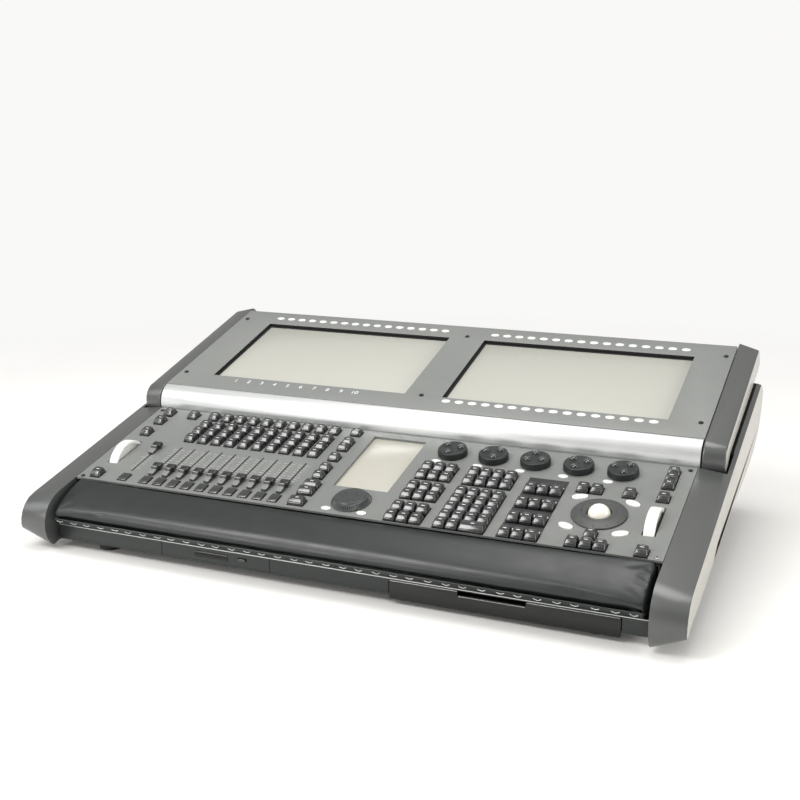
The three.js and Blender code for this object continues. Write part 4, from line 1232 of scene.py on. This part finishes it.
# (side inset, front inset, back inset, corner radius, height from the keyboard's top)
KEYBOARD_CAP = [(0, 18.5, 0.5, 1.2, -2.8), (0.1, 18.4, 0.6, 1.2, -1.6),
                (0.8, 17.6, 1.2, 1.2, -0.35), (1.3, 17.0, 1.7, 1.1, 0), (2.6, 15.6, 3.0, 0.9, -0.2)]


def build_fascia_details():
    (x0, y, z0), (x1, _, z1) = bounds_in("front_fascia", BASE)
    lip = Piece()
    # painted highlight along the fascia's top edge
    lip.add(box(x0 + 0.5, x1 - 0.5, y - 0.9, y + 1.2, z1 - 0.9, z1 + 0.3, 0.25, 0.3, 2), "lip")
    lip.build("fascia_edge_painted_highlight", "base", BASE, 35)
    seams = Piece()
    # painted shade: dark lines for the shadow in the joints between fascia panels
    for x in (-238, -76):
        seams.add(box(x - 0.7, x + 0.7, y - 0.25, y + 0.4, z0 + 0.6, z1 - 1.2, 0.08, 0.1), "gap")
    seams.build("fascia_seams", "base", BASE, 35)
    shutter = Piece()
    # painted shade in the media slot
    shutter.add(box(-185.5, -138.5, y - 0.7, y + 0.3, -64.3, -62.3, 0.15, 0.6), "gap")
    shutter.add(box(-186.4, -137.6, y - 0.5, y + 0.3, -60.4, -59.7, 0.12, 0.2), "cap_face")
    shutter.build("media_slot_shutter", "base", BASE, 35)


def build_drawer_edge_highlight():
    """Painted highlight: bright strips along the drawer's front edge, where it catches the light,
    lower across its notch.
    """
    (x0, y, _), (x1, _, z1) = bounds_in("keyboard_drawer", BASE)
    piece = Piece()
    for start, end, z in ((x0 + 1.0, 177.2, z1), (262.8, x1 - 1.0, z1), (178.6, 261.4, z1 - 6)):
        piece.add(box(start, end, y - 0.35, y + 2.6, z - 0.25, z + 0.35, 0.15, 0.2), "lip")
    piece.build("drawer_edge_painted_highlight", "drawer", BASE, 35)


def build_keyboard():
    (x0, y0, z0), (x1, y1, z1) = bounds_in("keyboard", BASE)
    piece = Piece()
    piece.add(box(x0, x1, y0, y1, z0, z1 - 2.6, 0.8, 4.0, 3), "black_smooth")
    for row, widths in enumerate(KEYBOARD_ROWS):
        back = y1 - 11 - row * KEYBOARD_ROW_PITCH
        unit = (x1 - x0 - 14) / sum(widths)
        x = x0 + 7
        for width in widths:
            left, right = x + 0.5, x + unit * width - 0.5
            piece.add(rings([rect(left + side, right - side, back - near, back - far, corner,
                                  z1 + z)
                             for side, near, far, corner, z in KEYBOARD_CAP]), "key")
            x += unit * width
    piece.build("keyboard_keys", "drawer", BASE, 45, "keyboard")


# ---------------------------------------------------------------- back and underside
REAR_Y = bounds_in("rear_panel", BASE)[1][1]
SOCKET_COLLAR = [(9.2, 1.5), (11.4, 1.5), (11.4, 3.4), (11.0, 3.8), (9.6, 3.8), (9.2, 3.4)]
SOCKET_FLOOR = [(9.1, 1.4), (9.1, 2.0), (8.8, 2.1), (0.3, 2.1)]
SOCKET_PIN = [(0.9, 2.0), (0.9, 3.2), (0.6, 3.5), (0.1, 3.55)]
HEAD_COVER_Z = -24.0


def at_back(x, z):
    """A place on the rear panel, its Z pointing backward."""
    return Matrix.Translation((x, REAR_Y, z)) @ Matrix.Rotation(-math.pi / 2, 4, "X")


def facing_down(z):
    return Matrix.Translation((0, 0, z)) @ Matrix.Rotation(math.pi, 4, "X")


def add_round_socket(piece, place):
    piece.add(box(-13, 13, -15.5, 15.5, 0.02, 1.6, 0.3, 2.4, 2), "steel", place)
    piece.add(turned_ring(SOCKET_COLLAR, 0, 0, 40), "black_smooth", place)
    # painted shade in the socket's hollow
    piece.add(lathe(SOCKET_FLOOR, 0, 0, 32), "gap", place)
    for k in range(5):
        pin = around(0, 0, 5.2, math.radians(-54 + 72 * k))
        piece.add(lathe(SOCKET_PIN, *pin, 10), "brass", place)
    for x, y in ((-10, 12.6), (10, -12.6)):
        add_screw(piece, x, y, 1.6, 1.9, 0.8, 0.4, "steel", place)


def add_flat_socket(piece, place):
    piece.add(box(-10.5, 10.5, -6.5, 6.5, 0.02, 1.3, 0.3, 0.8), "steel", place)
    # painted shade in the socket's recess
    piece.add(box(-7.2, 7.2, -4.2, 4.2, 1.2, 1.42, 0.08, 0.5), "gap", place)
    for k in range(6):
        start = k * 1.7
        piece.add(box(-4.6 + start, -4.2 + start, -4.0, 0.6, 1.35, 1.6, 0.05, 0.05), "brass",
                  place)


def build_rear_connectors():
    piece = Piece()
    for i in range(8):
        add_round_socket(piece, at_back(-318 + i * 42, 22))
    for i in range(6):
        add_flat_socket(piece, at_back(49 + i * 34, 11))
    piece.build("rear_connectors", "base", BASE, 38)


def build_power_inlet():
    place = at_back(325, -13)
    piece = Piece()
    piece.add(box(-26.5, 26.5, -18.5, 18.5, 0.02, 2.0, 0.5, 2.5, 2), "black_smooth", place)
    # painted shade in the inlet's recess
    piece.add(box(-13, 13, -9, 9, 1.9, 2.25, 0.1, 2.0, 2), "gap", place)
    for x, y in ((-7, -2), (7, -2), (0, 3)):
        piece.add(box(x - 1.0, x + 1.0, y - 2.2, y + 2.2, 2.2, 3.4, 0.2, 0.4), "steel", place)
    for x in (-20, 20):
        add_screw(piece, x, 0, 2.0, 2.6, 0.9, 0.2, "steel", place)
    piece.build("power_inlet", "base", BASE, 38)


def build_rear_vents():
    slot = vent((-8.4, 8.4, -1.9, 1.9), 1.8, (-7.4, 7.4, -1.0, 1.0), 0.95,
                heights=(-0.3, 0.5, 0.55, 0.12))
    piece = Piece()
    for row in range(3):
        shift = 11 if row % 2 else 0
        for i in range(14):
            # painted shade: each vent is shadow black, so the shallow slot reads as an opening
            piece.add(slot, "gap", at_back(-330 + i * 22.0 + shift, 62 + row * 14))
    piece.build("rear_vents", "base", BASE, 35)


def build_rear_screws():
    piece = Piece()
    for x, z in product((-392, -200, 0, 200, 392), (108, -66)):
        add_screw(piece, 0, 0, placement=at_back(x, z))
    piece.build("rear_screws", "base", BASE, 35)


def build_head_cover():
    """Vents and screws on the head's cover, which faces down and back."""
    under = facing_down(HEAD_COVER_Z)
    piece = Piece()
    for i in range(30):
        x = -290 + i * 20
        # painted shade: each vent is shadow black, so the shallow slot reads as an opening
        piece.add(vent((x - 2.2, x + 2.2, -232, -176), 2.0, (x - 1.2, x + 1.2, -231, -177), 1.0,
                       heights=(-0.2, 0.45, 0.5, 0.1)), "gap", under)
    for x, y in product((-392, -130, 130, 392), (-30, -256)):
        add_screw(piece, x, y, height=1.2, turn=0.4, placement=under)
    piece.build("head_cover_vents", "head", HEAD, 35)


def build_floor_screws():
    under = facing_down(bounds_in("base_tray", BASE)[0][2])
    piece = Piece()
    for x, y in product((-390, -195, 0, 195, 390), (20, -230, -470)):
        add_screw(piece, x, y, height=1.2, turn=0.4, placement=under)
    piece.build("floor_screws", "base", BASE, 35)


# ---------------------------------------------------------------- stage, light, camera
def floor_material():
    """A pale floor that fades into an even glow away from the console."""
    mat = Shader("floor_pale")
    tone = mat.ramp(mat.noise(scale=3, detail=3, rough=0.5),
                    (0.3, (0.82, 0.81, 0.79)), (0.7, (0.87, 0.865, 0.85)))
    mat.finish(color=tone, rough=0.8)
    length = mat.node("ShaderNodeVectorMath", operation="LENGTH")
    mat.link(mat.object_coords, length.inputs[0])
    far = mat.remap(length.outputs["Value"], source=(0.55, 1.9), target=(0.0, 1.0))
    glow = mat.node("ShaderNodeEmission")
    glow.inputs["Color"].default_value = (1.0, 0.995, 0.985, 1)
    glow.inputs["Strength"].default_value = 0.95
    blend = mat.node("ShaderNodeMixShader")
    mat.link(far, blend.inputs[0])
    mat.link(mat.principled.outputs["BSDF"], blend.inputs[1])
    mat.link(glow.outputs[0], blend.inputs[2])
    mat.link(blend.outputs[0], mat.output.inputs["Surface"])
    return mat.material


def build_floor():
    half, z = 30.0, -0.0005
    mesh = bpy.data.meshes.new("floor")
    corners = [(-half, -half, z), (half, -half, z), (half, half, z), (-half, half, z)]
    mesh.from_pydata(corners, [], [(0, 1, 2, 3)])
    mesh.materials.append(floor_material())
    new_object("floor", mesh)


def area_light(name, location, size, watts, colour, target=(0, 0, 0.1)):
    light = bpy.data.lights.new(name, "AREA")
    light.shape = "RECTANGLE"
    light.size, light.size_y = size
    light.energy = watts
    light.color = colour
    obj = new_object(name, light)
    obj.location = location
    aim = Vector(target) - Vector(location)
    obj.rotation_euler = aim.to_track_quat("-Z", "Y").to_euler()


def build_lights():
    area_light("key_front_left", location=(-1.05, -1.5, 1.95), size=(1.1, 1.0), watts=34,
               colour=(1.0, 0.99, 0.97))
    area_light("front_low", location=(-1.4, -2.6, 0.95), size=(1.1, 0.7), watts=20,
               colour=(1.0, 0.99, 0.97))
    area_light("key_overhead", location=(0.1, 0.2, 2.7), size=(1.6, 1.2), watts=26,
               colour=(1.0, 0.995, 0.98))
    area_light("fill_left", location=(-2.4, -1.2, 1.5), size=(1.2, 1.2), watts=10,
               colour=(0.97, 0.99, 1.0))
    area_light("fill_right", location=(2.7, 0.3, 0.9), size=(1.4, 1.2), watts=34,
               colour=(1.0, 0.985, 0.95), target=(0.3, 0, 0.1))


# (height from straight down at 0 to straight up at 1, brightness)
SKY = [(0.0, 0.95), (0.53, 0.95), (0.60, 0.42), (0.80, 0.36), (0.90, 0.85), (1.0, 1.05)]


def build_world():
    """A banded studio sky for light and reflections; the camera sees plain white."""
    world = bpy.data.worlds.new("studio")
    bpy.context.scene.world = world
    world.use_nodes = True
    nodes, link = world.node_tree.nodes, world.node_tree.links.new
    background = nodes["Background"]
    coords = nodes.new("ShaderNodeTexCoord")
    split = nodes.new("ShaderNodeSeparateXYZ")
    link(coords.outputs["Generated"], split.inputs[0])
    ramp = nodes.new("ShaderNodeValToRGB")
    height = nodes.new("ShaderNodeMapRange")
    height.inputs["From Min"].default_value = -1.0
    height.inputs["From Max"].default_value = 1.0
    link(split.outputs["Z"], height.inputs["Value"])
    link(height.outputs["Result"], ramp.inputs["Fac"])
    elements = ramp.color_ramp.elements
    while len(elements) < len(SKY):
        elements.new(0.5)
    for element, (position, value) in zip(elements, SKY):
        element.position = position
        element.color = (value, value * 0.992, value * 0.975, 1)
    light_path = nodes.new("ShaderNodeLightPath")
    mix = nodes.new("ShaderNodeMix")
    mix.data_type = "RGBA"
    link(light_path.outputs["Is Camera Ray"], mix.inputs[0])
    link(ramp.outputs["Color"], mix.inputs[6])
    mix.inputs[7].default_value = (1.0, 0.995, 0.985, 1)
    link(mix.outputs[2], background.inputs[0])
    background.inputs[1].default_value = 0.95
    bpy.context.scene.view_settings.view_transform = "Standard"


def build_camera():
    data = bpy.data.cameras.new("camera")
    data.sensor_width = 36
    data.lens = 53.7
    data.clip_start, data.clip_end = 0.02, 60
    camera = new_object("camera", data)
    camera.location = ORIGIN + Vector((0.63805, -1.2829, 0.4934))
    view = Vector((-0.38557, 0.89252, -0.23397))
    camera.rotation_euler = view.to_track_quat("-Z", "Y").to_euler()
    bpy.context.scene.camera = camera


# ---------------------------------------------------------------- build
build_keys()
build_flash_keys()
build_oval_buttons()
build_faders()
for index, turn_degrees in enumerate(ENCODER_TURNS, start=1):
    build_encoder(index, turn_degrees)
build_jog_wheel()
for wheel_node in ("left_thumbwheel", "right_thumbwheel"):
    build_thumb_wheel(wheel_node)
build_trackball()
build_scale_marks()
build_panel_lenses()
build_inlays()
build_top_screws()
build_head_lenses()
build_strip_numbers()
build_case()
build_palm_pad()
build_palm_hem()
build_staples()
build_fascia_details()
build_drawer_edge_highlight()
build_keyboard()
build_rear_connectors()
build_power_inlet()
build_rear_vents()
build_rear_screws()
build_head_cover()
build_floor_screws()
build_floor()
build_lights()
build_world()
build_camera()
